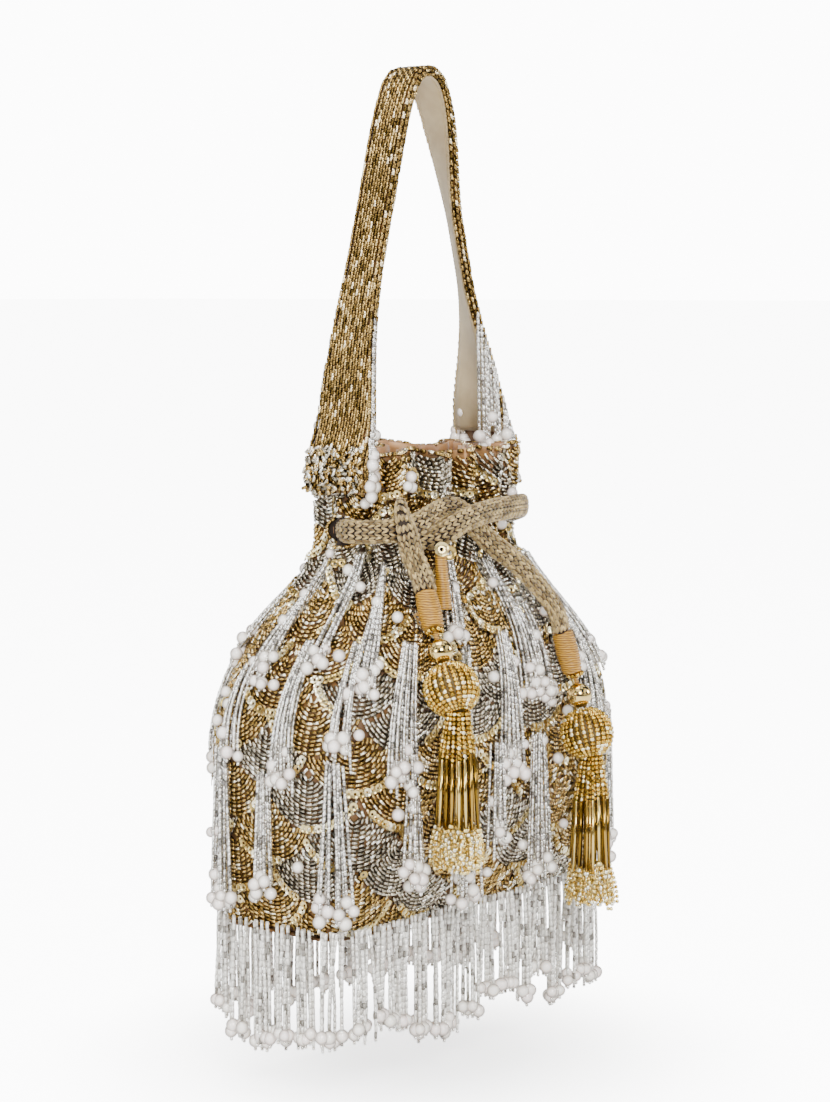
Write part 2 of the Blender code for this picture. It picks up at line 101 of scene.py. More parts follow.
def build_studio():
    # White sweep paper. Only the camera sees its glow, which dims close to the bag as a painted soft shadow.
    paper, tree, shader = new_material("studio_paper", {"Base Color": linear("#fcfcfc"),
                                                        "Roughness": 0.9, "Emission Color": (1, 1, 1, 1)})
    seen = add_node(tree, "ShaderNodeLightPath")
    place = add_node(tree, "ShaderNodeTexCoord")
    reach = add_node(tree, "ShaderNodeVectorMath", {"operation": "DISTANCE", 1: (0.0, 0.0, FLOOR_Z)},
                     {0: place.outputs["Object"]})
    painted_shadow_pool = add_node(tree, "ShaderNodeMapRange", {"interpolation_type": "SMOOTHSTEP", "From Min": 0.02,
                                                 "From Max": 0.17, "To Min": 2.6, "To Max": 9.5},
                    {"Value": reach.outputs["Value"]})
    glow = add_node(tree, "ShaderNodeMath", {"operation": "MULTIPLY"},
                    {0: seen.outputs["Is Camera Ray"], 1: painted_shadow_pool.outputs["Result"]})
    tree.links.new(glow.outputs["Value"], shader.inputs["Emission Strength"])
    size = 60.0
    corners = [(-size, -size, FLOOR_Z), (size, -size, FLOOR_Z), (size, size, FLOOR_Z), (-size, size, FLOOR_Z)]
    mesh_object("floor", corners, [(0, 1, 2, 3)], paper, smooth=False)

    world = bpy.data.worlds.new("studio")
    world.use_nodes = True
    bpy.context.scene.world = world
    tree = world.node_tree
    tree.nodes.clear()
    place = add_node(tree, "ShaderNodeTexCoord")
    height = add_node(tree, "ShaderNodeSeparateXYZ", links={"Vector": place.outputs["Generated"]})
    ramp = add_node(tree, "ShaderNodeValToRGB", links={"Fac": height.outputs["Z"]})
    ramp.color_ramp.elements[0].position = 0.0
    ramp.color_ramp.elements[0].color = (0.30, 0.30, 0.30, 1)
    ramp.color_ramp.elements[1].position = 0.75
    ramp.color_ramp.elements[1].color = (1.1, 1.1, 1.1, 1)
    # Broad dark flags between the soft boxes, so that cut glass and metal have something to mirror.
    flags = add_node(tree, "ShaderNodeTexNoise", {"Scale": 3.2, "Detail": 1.0},
                     {"Vector": place.outputs["Generated"]})
    edge = add_node(tree, "ShaderNodeMapRange", {"From Min": 0.44, "From Max": 0.56, "To Min": 0.03,
                                                 "To Max": 1.55}, {"Value": flags.outputs["Fac"]})
    room = add_node(tree, "ShaderNodeBackground", links={"Color": ramp.outputs["Color"],
                                                         "Strength": edge.outputs["Result"]})
    white = add_node(tree, "ShaderNodeBackground", {"Color": (1, 1, 1, 1), "Strength": 12.0})
    seen = add_node(tree, "ShaderNodeLightPath")
    mix = add_node(tree, "ShaderNodeMixShader", links={0: seen.outputs["Is Camera Ray"],
                                                       1: room.outputs[0], 2: white.outputs[0]})
    add_node(tree, "ShaderNodeOutputWorld", links={"Surface": mix.outputs[0]})

    boxes = (("key", (-1.3, -1.5, 0.9), 0.6, 48), ("fill", (1.5, -1.1, 0.4), 0.5, 22),
             ("top", (-0.2, 0.3, 1.5), 1.0, 30), ("side", (-1.4, 0.1, 0.1), 0.4, 10))
    for name, place, size, watts in boxes:
        lamp = bpy.data.lights.new(name, "AREA")
        lamp.size = size
        lamp.energy = watts
        made = bpy.data.objects.new(name, lamp)
        made.location = place
        aim = VIEW_CENTRE - Vector(place)
        made.rotation_euler = aim.to_track_quat("-Z", "Y").to_euler()
        bpy.context.scene.collection.objects.link(made)

    azimuth, elevation = VIEW_BACK
    back = Vector((math.sin(azimuth) * math.cos(elevation), -math.cos(azimuth) * math.cos(elevation),
                   math.sin(elevation)))
    lens = bpy.data.cameras.new("camera")
    lens.lens = LENS_MM
    camera = bpy.data.objects.new("camera", lens)
    camera.location = VIEW_CENTRE + back * VIEW_DISTANCE
    camera.rotation_euler = (-back).to_track_quat("-Z", "Y").to_euler()
    bpy.context.scene.collection.objects.link(camera)
    bpy.context.scene.camera = camera


build_studio()

# ---- Pouch fabric: tan satin, cut as a tube, gathered into pleats at the neck and turned in at
# the rim. It shows between the beads as a warm sheen.
BASE_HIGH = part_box("base_panel")[1]
POUCH_LOW, POUCH_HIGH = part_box("outer_pouch")
Z_BASE, Z_MOUTH = POUCH_LOW[2], POUCH_HIGH[2]
Z_BELLY = Z_BASE + 0.064
Z_NECK = Z_MOUTH - 0.035
Z_CORD = Z_MOUTH - 0.031
NECK_HALF = (0.045, 0.0285)
FABRIC_SINK = 0.0011          # the satin lies this far inside the beaded surface
PLEATS, PLEAT_DEPTH = 13, 0.0046
GIRTH = 0.468                 # the uncut tube's girth, before gathering


def ease(t):
    t = np.clip(t, 0.0, 1.0)
    return t * t * (3 - 2 * t)


def pouch_section(z):
    """Half width, half depth and squareness of the pouch's outline at a height."""
    wide, deep = POUCH_HIGH[0], POUCH_HIGH[1]
    if z <= Z_BELLY:
        rise = math.sin(max(z - Z_BASE, 0.0) / (Z_BELLY - Z_BASE) * math.pi / 2)
        return (BASE_HIGH[0] + (wide - BASE_HIGH[0]) * rise,
                BASE_HIGH[1] + (deep - BASE_HIGH[1]) * rise, 9.0 - 4.5 * rise)
    t = min((z - Z_BELLY) / (Z_NECK - Z_BELLY), 1.0)
    return (wide + (NECK_HALF[0] - wide) * ease(t ** 1.35),
            deep + (NECK_HALF[1] - deep) * ease(t ** 2.0), 4.5 - 2.2 * t)


def pouch_grid(levels=150, columns=480):
    """Points of the pleated surface: evenly spaced round each level, from the front's middle."""
    heights = np.linspace(Z_BASE, Z_MOUTH, levels)
    share = np.arange(columns) / columns
    grid = np.empty((levels, columns, 3))
    turn = np.linspace(0, 2 * math.pi, 1441) - math.pi / 2
    c, s = np.cos(turn), np.sin(turn)
    swirl = 2 * math.pi * share
    fold = np.cos(PLEATS * swirl + 1.1 * np.sin(3 * swirl)) + 0.45 * np.cos(29 * swirl + 2.0)
    for k, z in enumerate(heights):
        half_x, half_y, power = pouch_section(z)
        x = half_x * np.sign(c) * np.abs(c) ** (2 / power)
        y = half_y * np.sign(s) * np.abs(s) ** (2 / power)
        along = np.concatenate([[0], np.cumsum(np.hypot(np.diff(x), np.diff(y)))])
        px, py = np.interp(share * along[-1], along, x), np.interp(share * along[-1], along, y)
        tx, ty = np.roll(px, -1) - np.roll(px, 1), np.roll(py, -1) - np.roll(py, 1)
        size = np.hypot(tx, ty)
        ruffle = ease((z - Z_NECK - 0.006) / 0.022)
        gather = ease((z - Z_NECK + 0.040) / 0.040)
        depth = PLEAT_DEPTH * (0.55 * gather + 0.55 * ruffle)
        side = np.clip((np.abs(px) / half_x - 0.80) / 0.2, 0, 1) * ruffle
        out = depth * fold * (1 - 0.8 * side) - depth * 0.5
        out += 0.0007 * np.sin(5 * swirl + 40 * z) * (1 - gather)
        grid[k, :, 0] = px + ty / size * out
        grid[k, :, 1] = py - tx / size * out
        grid[k, :, 2] = z + 0.0016 * np.sin(7 * swirl + 0.6) * ruffle * (1 - side)
    return grid


POUCH = pouch_grid()
ACROSS = np.roll(POUCH, -1, 1) - np.roll(POUCH, 1, 1)
ACROSS /= np.linalg.norm(ACROSS, axis=2, keepdims=True)
UPWARD = np.gradient(POUCH, axis=0)
UPWARD /= np.linalg.norm(UPWARD, axis=2, keepdims=True)
OUTWARD = np.cross(ACROSS, UPWARD)
OUTWARD /= np.linalg.norm(OUTWARD, axis=2, keepdims=True)


def on_pouch(share, z, field=POUCH):
    """Reads a field of the pouch's grid at shares of the way round and heights."""
    share, z = np.broadcast_arrays(np.asarray(share, float), np.asarray(z, float))
    levels, columns = field.shape[:2]
    row = np.clip((z - Z_BASE) / (Z_MOUTH - Z_BASE), 0, 1) * (levels - 1)
    column = (share % 1.0) * columns
    r, q = np.minimum(row.astype(int), levels - 2), column.astype(int) % columns
    fr, fq = (row - r)[..., None], (column - np.floor(column))[..., None]
    q1 = (q + 1) % columns
    low = field[r, q] * (1 - fq) + field[r, q1] * fq
    high = field[r + 1, q] * (1 - fq) + field[r + 1, q1] * fq
    return low * (1 - fr) + high * fr


def shell(name, shares, heights, sink, thickness, material, floor=False):
    """A closed thin skin that follows the pouch, a given depth inside its beaded surface."""
    layers = []
    for depth in (sink, sink + thickness):
        s, z = np.meshgrid(shares, heights)
        inward = depth if np.isscalar(depth) else np.asarray(depth)[:, None]
        inward = np.broadcast_to(inward, s.shape)[..., None]
        layers.append(on_pouch(s, z) - on_pouch(s, z, OUTWARD) * inward)
    rows, columns = len(heights), len(shares)
    points = np.concatenate([layer.reshape(-1, 3) for layer in layers])
    half = rows * columns
    faces = []
    for k in range(rows - 1):
        for i in range(columns):
            j = (i + 1) % columns
            a, b, c, d = k * columns + i, k * columns + j, (k + 1) * columns + j, (k + 1) * columns + i
            faces += [(a, b, c, d), (a + half, d + half, c + half, b + half)]
    for i in range(columns):
        j = (i + 1) % columns
        top = (rows - 1) * columns
        faces.append((top + i, top + j, top + j + half, top + i + half))
        if not floor:
            faces.append((j, i, i + half, j + half))
    if floor:
        faces += [tuple(range(columns - 1, -1, -1)), tuple(range(half, half + columns))]
    return mesh_object(name, points, faces, material)


def satin(name, light, dark, thread_mm=0.35):
    """Warp-faced satin: a smooth sheen with fine cross threads, and soft light and dark patches that are painted
    crease highlight and shade.
    """
    made, tree, shader = new_material(name, {"Roughness": 0.42, "Sheen Weight": 0.25,
                                             "Specular IOR Level": 0.45})
    place = add_node(tree, "ShaderNodeTexCoord")
    painted_crease_shade = add_node(tree, "ShaderNodeTexNoise", {"Scale": 60.0, "Detail": 4.0},
                     {"Vector": place.outputs["Object"]})
    # Dark and light patches: painted shade and highlight of soft creases.
    ramp = add_node(tree, "ShaderNodeValToRGB", links={"Fac": painted_crease_shade.outputs["Fac"]})
    ramp.color_ramp.elements[0].position, ramp.color_ramp.elements[1].position = 0.35, 0.68
    ramp.color_ramp.elements[0].color = linear(dark)
    ramp.color_ramp.elements[1].color = linear(light)
    tree.links.new(ramp.outputs["Color"], shader.inputs["Base Color"])
    # A wave's bands are 1 / (scale * 2 pi / 20) apart, about 3.2 / scale metres.
    weave = add_node(tree, "ShaderNodeTexWave", {"Scale": 3.2 / (thread_mm * 0.001) / 10, "Distortion": 1.0,
                                                 "bands_direction": "Z"},
                     {"Vector": place.outputs["Object"]})
    bump = add_node(tree, "ShaderNodeBump", {"Strength": 0.25, "Distance": 0.0001},
                    {"Height": weave.outputs["Fac"]})
    tree.links.new(bump.outputs["Normal"], shader.inputs["Normal"])
    return made



tan_satin = satin("tan_satin", "#8f6533", "#4f3518")
fabric = shell("pouch_fabric", np.arange(170) / 170, np.linspace(Z_BASE + 0.0002, Z_MOUTH - 0.0002, 56),
               FABRIC_SINK, 0.0006, tan_satin)
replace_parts(fabric, "outer_pouch")
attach(fabric, "bag")


def outline_plate(name, shares, low, high, grow, material, edge=0.0008):
    """A plate in the shape of the pouch's foot, with a rounded edge."""
    rim = on_pouch(shares, np.full(len(shares), Z_BASE))
    points, rings = [], ((0.90, low), (1.0, low + edge), (1.0, high - edge), (0.90, high))
    for k, (share_out, z) in enumerate(rings):
        for x, y, _ in rim:
            points.append(((x + math.copysign(grow, x)) * (share_out if k in (0, 3) else 1.0),
                           (y + math.copysign(grow, y)) * (share_out if k in (0, 3) else 1.0), z))
    n = len(shares)
    faces = [(k * n + i, k * n + (i + 1) % n, (k + 1) * n + (i + 1) % n, (k + 1) * n + i)
             for k in range(3) for i in range(n)]
    faces += [tuple(range(n - 1, -1, -1)), tuple(range(3 * n, 4 * n))]
    made = mesh_object(name, points, faces, material)
    return made


low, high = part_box("base_panel")
base = outline_plate("base_fabric", np.arange(120) / 120, low.z, high.z, 0.0, tan_satin, 0.0004)
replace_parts(base, "base_panel")
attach(base, "bag")

# ---- Lining and base board: a loose bag of plain satin in the pouch with fine creases round it,
# and a stiff paper board on the floor of it.
lining_satin = satin("lining_satin", "#bd8e5c", "#8c6038")
heights = np.concatenate([np.linspace(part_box("lining")[0].z, Z_NECK - 0.03, 20),
                          np.linspace(Z_NECK - 0.027, Z_MOUTH - 0.0006, 26)])
sink = 0.0030 + 0.0062 * np.exp(-((heights - Z_CORD) / 0.009) ** 2)
sink = np.where(heights < Z_NECK - 0.04, 0.0026, sink) + 0.00025 * np.sin(heights * 1900)
lining = shell("lining_cloth", np.arange(150) / 150, heights, sink, 0.0005, lining_satin, floor=True)
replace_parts(lining, "lining")
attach(lining, "bag")

board, tree, shader = new_material("grey_board", {"Roughness": 0.85})
place = add_node(tree, "ShaderNodeTexCoord")
fibre = add_node(tree, "ShaderNodeTexNoise", {"Scale": 900.0, "Detail": 3.0},
                 {"Vector": place.outputs["Object"]})
ramp = add_node(tree, "ShaderNodeValToRGB", links={"Fac": fibre.outputs["Fac"]})
ramp.color_ramp.elements[0].color, ramp.color_ramp.elements[1].color = linear("#8b857a"), linear("#a9a294")
tree.links.new(ramp.outputs["Color"], shader.inputs["Base Color"])
board_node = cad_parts["base_board"]
board_node.data.materials.clear()
board_node.data.materials.append(board)

# ---- Beadwork of the pouch: fish-scale fans of gold and of silver cut-tube beads, couched in close
# arcs side by side. A row of cup sequins edges each fan, and single pearls are sewn on here and there.
FAN_COLUMNS, FAN_RADIUS, FAN_RISE = 12, 0.0206, 0.0140
TUBE_LENGTH, TUBE_WIDTH, TUBE_PITCH = 0.0027, 0.00150, 0.00295
ARC_STEP = 0.00158
SEQUIN = 0.0034


def tube_bead(sides=4):
    """A cut tube, 1 long and 1 across, lying along x."""
    turn = (np.arange(sides) + 0.5) / sides * 2 * math.pi
    ring = np.column_stack([np.zeros(sides), np.cos(turn) / 2, np.sin(turn) / 2])
    points = np.concatenate([ring - (0.5, 0, 0), ring + (0.5, 0, 0)])
    faces = [(i, (i + 1) % sides, (i + 1) % sides + sides, i + sides) for i in range(sides)]
    return points, faces + [tuple(range(sides - 1, -1, -1)), tuple(range(sides, 2 * sides))]


def round_bead(rings=4, sides=8):
    """A ball, 1 across, with its poles along x."""
    points, faces = [(-0.5, 0, 0)], []
    for k in range(1, rings):
        lean = math.pi * k / rings
        for i in range(sides):
            turn = 2 * math.pi * i / sides
            points.append((-math.cos(lean) / 2, math.sin(lean) * math.cos(turn) / 2,
                           math.sin(lean) * math.sin(turn) / 2))
    points.append((0.5, 0, 0))
    last = len(points) - 1
    for i in range(sides):
        j = (i + 1) % sides
        faces.append((0, 1 + j, 1 + i))
        faces.append((last, last - sides + i, last - sides + j))
        for k in range(rings - 2):
            a = 1 + k * sides
            faces.append((a + i, a + j, a + sides + j, a + sides + i))
    return np.array(points), faces


def cup_sequin(sides=9):
    """A dished disc, 1 across, with a hole in the middle, facing z."""
    points, faces = [], []
    for radius, rise in ((0.5, 0.10), (0.36, 0.0), (0.17, 0.0)):
        for i in range(sides):
            turn = 2 * math.pi * i / sides
            points.append((radius * math.cos(turn), radius * math.sin(turn), rise))
    for k in range(2):
        for i in range(sides):
            j = (i + 1) % sides
            faces.append((k * sides + i, k * sides + j, (k + 1) * sides + j, (k + 1) * sides + i))
    return np.array(points), faces


def unit(vectors):
    return vectors / np.maximum(np.linalg.norm(vectors, axis=-1, keepdims=True), 1e-12)


def sew_beads(name, bead, centres, along, outward, sizes, material, body, smooth=False):
    """One mesh of many beads. Each has its own small cell of the UV map, so it keeps its own colour."""
    points, faces = bead
    centres, count = np.asarray(centres, float), len(centres)
    along = unit(np.broadcast_to(np.asarray(along, float), (count, 3)))
    outward = np.broadcast_to(np.asarray(outward, float), (count, 3))
    side = unit(np.cross(outward, along))
    outward = np.cross(along, side)
    local = points[None] * np.broadcast_to(np.asarray(sizes, float), (count, 3))[:, None]
    placed = (centres[:, None] + local[..., 0:1] * along[:, None] + local[..., 1:2] * side[:, None]
              + local[..., 2:3] * outward[:, None])
    corners = np.array([len(f) for f in faces])
    loops = np.concatenate([np.array(f) for f in faces])
    each, shift = len(points), np.arange(count)[:, None] * len(points)
    mesh = bpy.data.meshes.new(name)
    mesh.vertices.add(count * each)
    mesh.vertices.foreach_set("co", placed.reshape(-1).astype(np.float32))
    mesh.loops.add(count * len(loops))
    mesh.loops.foreach_set("vertex_index", (loops[None] + shift).reshape(-1).astype(np.int32))
    starts = np.concatenate([[0], np.cumsum(corners)[:-1]])
    mesh.polygons.add(count * len(faces))
    mesh.polygons.foreach_set("loop_start", (starts[None] + np.arange(count)[:, None] * len(loops))
                              .reshape(-1).astype(np.int32))
    mesh.update(calc_edges=True)
    cells = math.ceil(math.sqrt(count))
    turn = np.concatenate([np.arange(c) / c * 2 * math.pi for c in corners])
    spot = np.column_stack([np.cos(turn), np.sin(turn)]) * 0.3 + 0.5
    cell = np.column_stack([np.arange(count) % cells, np.arange(count) // cells])
    uv = mesh.uv_layers.new(name="OFBake")
    uv.data.foreach_set("uv", ((cell[:, None] + spot[None]) / cells).reshape(-1).astype(np.float32))
    mesh.materials.append(material)
    if smooth:
        mesh.shade_smooth()
    made = bpy.data.objects.new(name, mesh)
    bpy.context.scene.collection.objects.link(made)
    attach(made, body)
    return made


def bead_material(name, stops, roughness, metallic=1.0, **extra):
    """Glass or metal beads, each of one shade, picked bead by bead from the stops."""
    made, tree, shader = new_material(name, {"Metallic": metallic, "Roughness": roughness, **extra})
    bead = add_node(tree, "ShaderNodeNewGeometry")
    ramp = add_node(tree, "ShaderNodeValToRGB", links={"Fac": bead.outputs["Random Per Island"]})
    ramp.color_ramp.interpolation = "CONSTANT"
    while len(ramp.color_ramp.elements) < len(stops):
        ramp.color_ramp.elements.new(0.5)
    for element, (position, code) in zip(ramp.color_ramp.elements, stops):
        element.position, element.color = position, linear(code)
    tree.links.new(ramp.outputs["Color"], shader.inputs["Base Color"])
    return made


# Gold-lined cut glass: every tube mirrors the room in its own flat facets, some dark, some as a glint. Each
# tube's colour is one stop from brown to pale gold; the palest stop is a painted glint.
gold_tubes = bead_material("gold_lined_glass", ((0.0, "#7c6434"), (0.16, "#a3874f"), (0.42, "#bda066"),
                                                (0.68, "#d8c08c"), (0.84, "#fff6dc")), 0.25)
# Silver-lined cut glass: grey to white; the few darkest tubes are painted dark reflections, the whitest painted
# glints.
silver_tubes = bead_material("silver_lined_glass", ((0.0, "#7b7567"), (0.16, "#9e9686"), (0.40, "#b9b09e"),
                                                    (0.66, "#d5ccb9"), (0.86, "#fffdf2")), 0.25)
# Pale gold foil sequins: a bright satin gloss that turns with the dish; the palest of the picked shades is a
# painted highlight.
gold_sequins = bead_material("pale_gold_foil", ((0.0, "#b39a5c"), (0.3, "#d8c48a"), (0.7, "#fbf2cc")), 0.27, 0.9)


def pearl_material():
    """Lacquered imitation pearl: a milky body, some faintly rose, a clear gloss, and painted shade darkening it
    towards its edge.
    """
    made, tree, shader = new_material("ivory_pearl", {"Roughness": 0.20, "Coat Weight": 1.0,
                                                      "Coat Roughness": 0.05, "IOR": 1.53})
    edge = add_node(tree, "ShaderNodeLayerWeight", {"Blend": 0.74})
    bead = add_node(tree, "ShaderNodeNewGeometry")
    warm = add_node(tree, "ShaderNodeValToRGB", links={"Fac": bead.outputs["Random Per Island"]})
    warm.color_ramp.elements[0].color, warm.color_ramp.elements[1].color = linear("#fffaf0"), linear("#fcefea")
    painted_rim_shade = add_node(tree, "ShaderNodeMix", {"data_type": "RGBA"},
                    {"Factor": edge.outputs["Facing"]})
    tree.links.new(warm.outputs["Color"], painted_rim_shade.inputs[6])
    # Dark grey-brown towards the rim: painted shade.
    painted_rim_shade.inputs[7].default_value = linear("#685c4e")
    tree.links.new(painted_rim_shade.outputs[2], shader.inputs["Base Color"])
    # A glow of its own stands in for the light that passes through the lacquered ball.
    tree.links.new(painted_rim_shade.outputs[2], shader.inputs["Emission Color"])
    shader.inputs["Emission Strength"].default_value = 0.60
    return made


pearl = pearl_material()
RISE = np.linalg.norm(np.diff(on_pouch(np.full(400, 0.02), np.linspace(Z_BASE, Z_MOUTH, 400)), axis=0), axis=1)
CLOTH_HIGH = np.concatenate([[0], np.cumsum(RISE)])


def cloth_to_z(v):
    """Height of a point a length v up the cloth from the foot."""
    return np.interp(v, CLOTH_HIGH, np.linspace(Z_BASE, Z_MOUTH, 400))


def fan_centres():
    """(row, x, v, kind) of each fan on the flat cloth, the top row first."""
    pitch = GIRTH / FAN_COLUMNS
    rows = int(CLOTH_HIGH[-1] / FAN_RISE) + 2
    found = []
    for row in range(rows):
        v = CLOTH_HIGH[-1] + 0.002 - row * FAN_RISE
        for column in range(FAN_COLUMNS):
            x = (column + 0.5 * (row % 2)) * pitch + 0.0012 * math.sin(5.0 * column + 3.0 * row)
            kind = (column + row // 2 + (row * column) // 5) % 2
            found.append((row, x, v + 0.0012 * math.sin(7.0 * column + row), kind))
    return found


FANS = fan_centres()
fan_row = np.array([f[0] for f in FANS])
fan_x = np.array([f[1] for f in FANS])
fan_v = np.array([f[2] for f in FANS])


def owner(x, v):
    """Which fan lies on top at a point of the cloth; the upper fans overlap the lower ones."""
    across = (x[:, None] - fan_x[None] + GIRTH / 2) % GIRTH - GIRTH / 2
    inside = np.hypot(across, v[:, None] - fan_v[None]) < FAN_RADIUS + SEQUIN * 0.35
    ranked = np.where(inside, fan_row[None], 999)
    best = ranked.argmin(1)
    return np.where(inside.any(1), best, -1)


def arc_on_cloth(fan, radius, pitch, phase):
    """Evenly spaced places along one arc of a fan, measured on the gathered cloth."""
    turn = np.linspace(-1.5 * math.pi, 0.5 * math.pi, 380)
    x, v = fan_x[fan] + radius * np.cos(turn), fan_v[fan] + radius * np.sin(turn)
    spots = on_pouch(x / GIRTH, cloth_to_z(np.clip(v, 0, CLOTH_HIGH[-1])))
    along = np.concatenate([[0], np.cumsum(np.linalg.norm(np.diff(spots, axis=0), axis=1))])
    wanted = np.arange(pitch * phase, along[-1], pitch)
    return np.interp(wanted, along, x), np.interp(wanted, along, v), np.interp(wanted, along, turn)


def embroider():
    tubes = {0: [], 1: []}
    sequins = []
    for fan, (row, cx, cv, kind) in enumerate(FANS):
        radii = np.arange(FAN_RADIUS + 0.0002, 0.0012, -ARC_STEP)
        for k, radius in enumerate(radii):
            x, v, turn = arc_on_cloth(fan, radius, TUBE_PITCH, (k * 0.37) % 1.0)
            keep = (v > 0.0005) & (v < CLOTH_HIGH[-1] - 0.0022)
            if not keep.any():
                continue
            x, v, turn = x[keep], v[keep], turn[keep]
            mine = owner(x, v) == fan
            tubes[kind].append(np.column_stack([x, v, turn])[mine])
        x, v, turn = arc_on_cloth(fan, FAN_RADIUS, SEQUIN * 0.66, 0.3)
        keep = (v > 0.001) & (v < CLOTH_HIGH[-1] - 0.003)
        if keep.any():
            x, v, turn = x[keep], v[keep], turn[keep]
            mine = (owner(x, v) == fan) & (np.sin(turn * 2.3 + fan * 1.7) > 0.2)
            sequins.append(np.column_stack([x, v, turn])[mine])
    return {k: np.concatenate(t) for k, t in tubes.items()}, np.concatenate(sequins)


def lay_on_cloth(x, v, turn, lift, jitter=0.0):
    """Centres, directions along the arc and outward directions of beads on the cloth."""
    z = cloth_to_z(v)
    step = 0.0006
    here = on_pouch(x / GIRTH, z)
    there = on_pouch((x - step * np.sin(turn)) / GIRTH, cloth_to_z(v + step * np.cos(turn)))
    outward = unit(on_pouch(x / GIRTH, z, OUTWARD))
    along = unit(there - here + 1e-9)
    along = unit(along + rng.normal(0, jitter, along.shape))
    return here + outward * np.asarray(lift).reshape(-1, 1), along, outward


TUBES, SEQUINS = embroider()
SLOT_SHARES, SLOT_HALF_WIDE, SLOT_HALF_HIGH = (0.249, 0.751), 0.0095, 0.0058


def clear_of_slots(places):
    """Keeps beads out of the two slots that the cord leaves by."""
    share, z = (places[:, 0] / GIRTH) % 1.0, cloth_to_z(places[:, 1])
    here = on_pouch(share, z)
    keep = np.ones(len(places), bool)
    for slot_share in SLOT_SHARES:
        centre = on_pouch(slot_share, Z_CORD)
        near = np.hypot((here[:, 1] - centre[1]) / SLOT_HALF_WIDE, (here[:, 2] - centre[2]) / SLOT_HALF_HIGH)
        keep &= (near > 1.05) | (here[:, 0] * centre[0] < 0)
    return places[keep]


TUBES = {kind: clear_of_slots(places) for kind, places in TUBES.items()}
SEQUINS = clear_of_slots(SEQUINS)
for kind, material, name in ((0, gold_tubes, "gold_fans"), (1, silver_tubes, "silver_fans")):
    places = TUBES[kind]
    share = (places[:, 0] / GIRTH) % 1.0
    front = (share < 0.25) | (share > 0.75)
    for part, chosen in (("front", front), ("back", ~front)):
        x, v, turn = places[chosen].T
        lift = -FABRIC_SINK + TUBE_WIDTH * 0.45 + rng.uniform(0, 0.0005, len(x))
        centre, along, outward = lay_on_cloth(x, v, turn, lift, 0.09)
        roll = outward + np.cross(outward, along) * rng.uniform(-1, 1, (len(x), 1))
        size = np.column_stack([TUBE_LENGTH * rng.uniform(0.86, 1.06, len(x)),
                                np.full(len(x), TUBE_WIDTH), np.full(len(x), TUBE_WIDTH)])
        sew_beads(f"{name}_{part}", tube_bead(4), centre, along, roll, size, material, "bag")

x, v, turn = SEQUINS.T
centre, along, outward = lay_on_cloth(x, v, turn, 0.0010 + rng.uniform(0, 0.0005, len(x)))
sew_beads("fan_edge_sequins", cup_sequin(), centre, along, outward + along * 0.16, SEQUIN, gold_sequins,
          "bag", smooth=True)

# Each slot is a mouth into the casing, near black inside as painted shade, bound with a row of gold tubes.
GATHERED_GIRTH = 0.235        # round the neck, where the slots are
casing_painted_shade = new_material("casing_painted_shadow", {"Base Color": linear("#22150a"), "Roughness": 0.9})[0]
for slot_share, name in zip(SLOT_SHARES, ("right", "left")):
    turns = np.arange(26) / 26 * 2 * math.pi
    rings = [(0.0, -0.0009), (0.5, -0.0008), (0.8, -0.0004), (1.04, -0.0002)]
    reach = SLOT_HALF_WIDE / GATHERED_GIRTH
    points, faces = [], []
    for grow, lift in rings:
        shares = slot_share + grow * reach * np.cos(turns)
        heights = Z_CORD + grow * SLOT_HALF_HIGH * np.sin(turns)
        points += list(on_pouch(shares, heights) + unit(on_pouch(shares, heights, OUTWARD)) * lift)
    for k in range(3):
        faces += [(k * 26 + i, (k + 1) * 26 + i, (k + 1) * 26 + (i + 1) % 26, k * 26 + (i + 1) % 26)
                  for i in range(26)]
    mouth = mesh_object(f"slot_mouth_{name}", points, faces, casing_painted_shade)
    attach(mouth, "bag")
    edge = np.array(points[-26:])
    sew_beads(f"slot_binding_{name}", tube_bead(5), edge + unit(edge * (1, 1, 0)) * 0.0009,
              np.roll(edge, -1, 0) - np.roll(edge, 1, 0), edge * (1, 1, 0), (0.0021, 0.0015, 0.0015),
              gold_tubes, "bag")

# Single pearls, loosely scattered, more of them near the neck.
count = 120
x = rng.uniform(0, GIRTH, count)
v = CLOTH_HIGH[-1] * (0.98 - rng.uniform(0.02, 0.93, count) ** 1.25)
centre, along, outward = lay_on_cloth(x, v, np.zeros(count), 0.0022)
sew_beads("scattered_pearls", round_bead(7, 11), centre, along, outward,
          rng.uniform(0.0042, 0.0052, (count, 1)), pearl, "bag", smooth=True)

# The rim: gold tubes whipped over the edge of the mouth, one beside the other.
count = 190
share = np.arange(count) / count
edge = on_pouch(share, np.full(count, Z_MOUTH))
inward = unit(edge * (-1, -1, 0))
sew_beads("rim_beads", tube_bead(5), edge + (0, 0, -0.0006) + inward * 0.0008,
          np.roll(edge, -1, 0) - np.roll(edge, 1, 0), np.broadcast_to((0, 0, 1.0), (count, 3)),
          (0.0023, 0.0017, 0.0017), gold_tubes, "bag")

# ---- Handle: a stiffened satin strap, broad where it is sewn to the rim, narrow at the top, with
# one twisted end. Its outer face is closed with lengthwise rows of gold tubes; beige satin backs it.
STRAP_THICK, BACKING_THICK, STRAP_LIFT = 0.0020, 0.0010, 0.0029
STRAP_NARROW, STRAP_BROAD, STRAP_TWIST, STRAP_OVERLAP = 0.016, 0.029, math.radians(42), 0.016


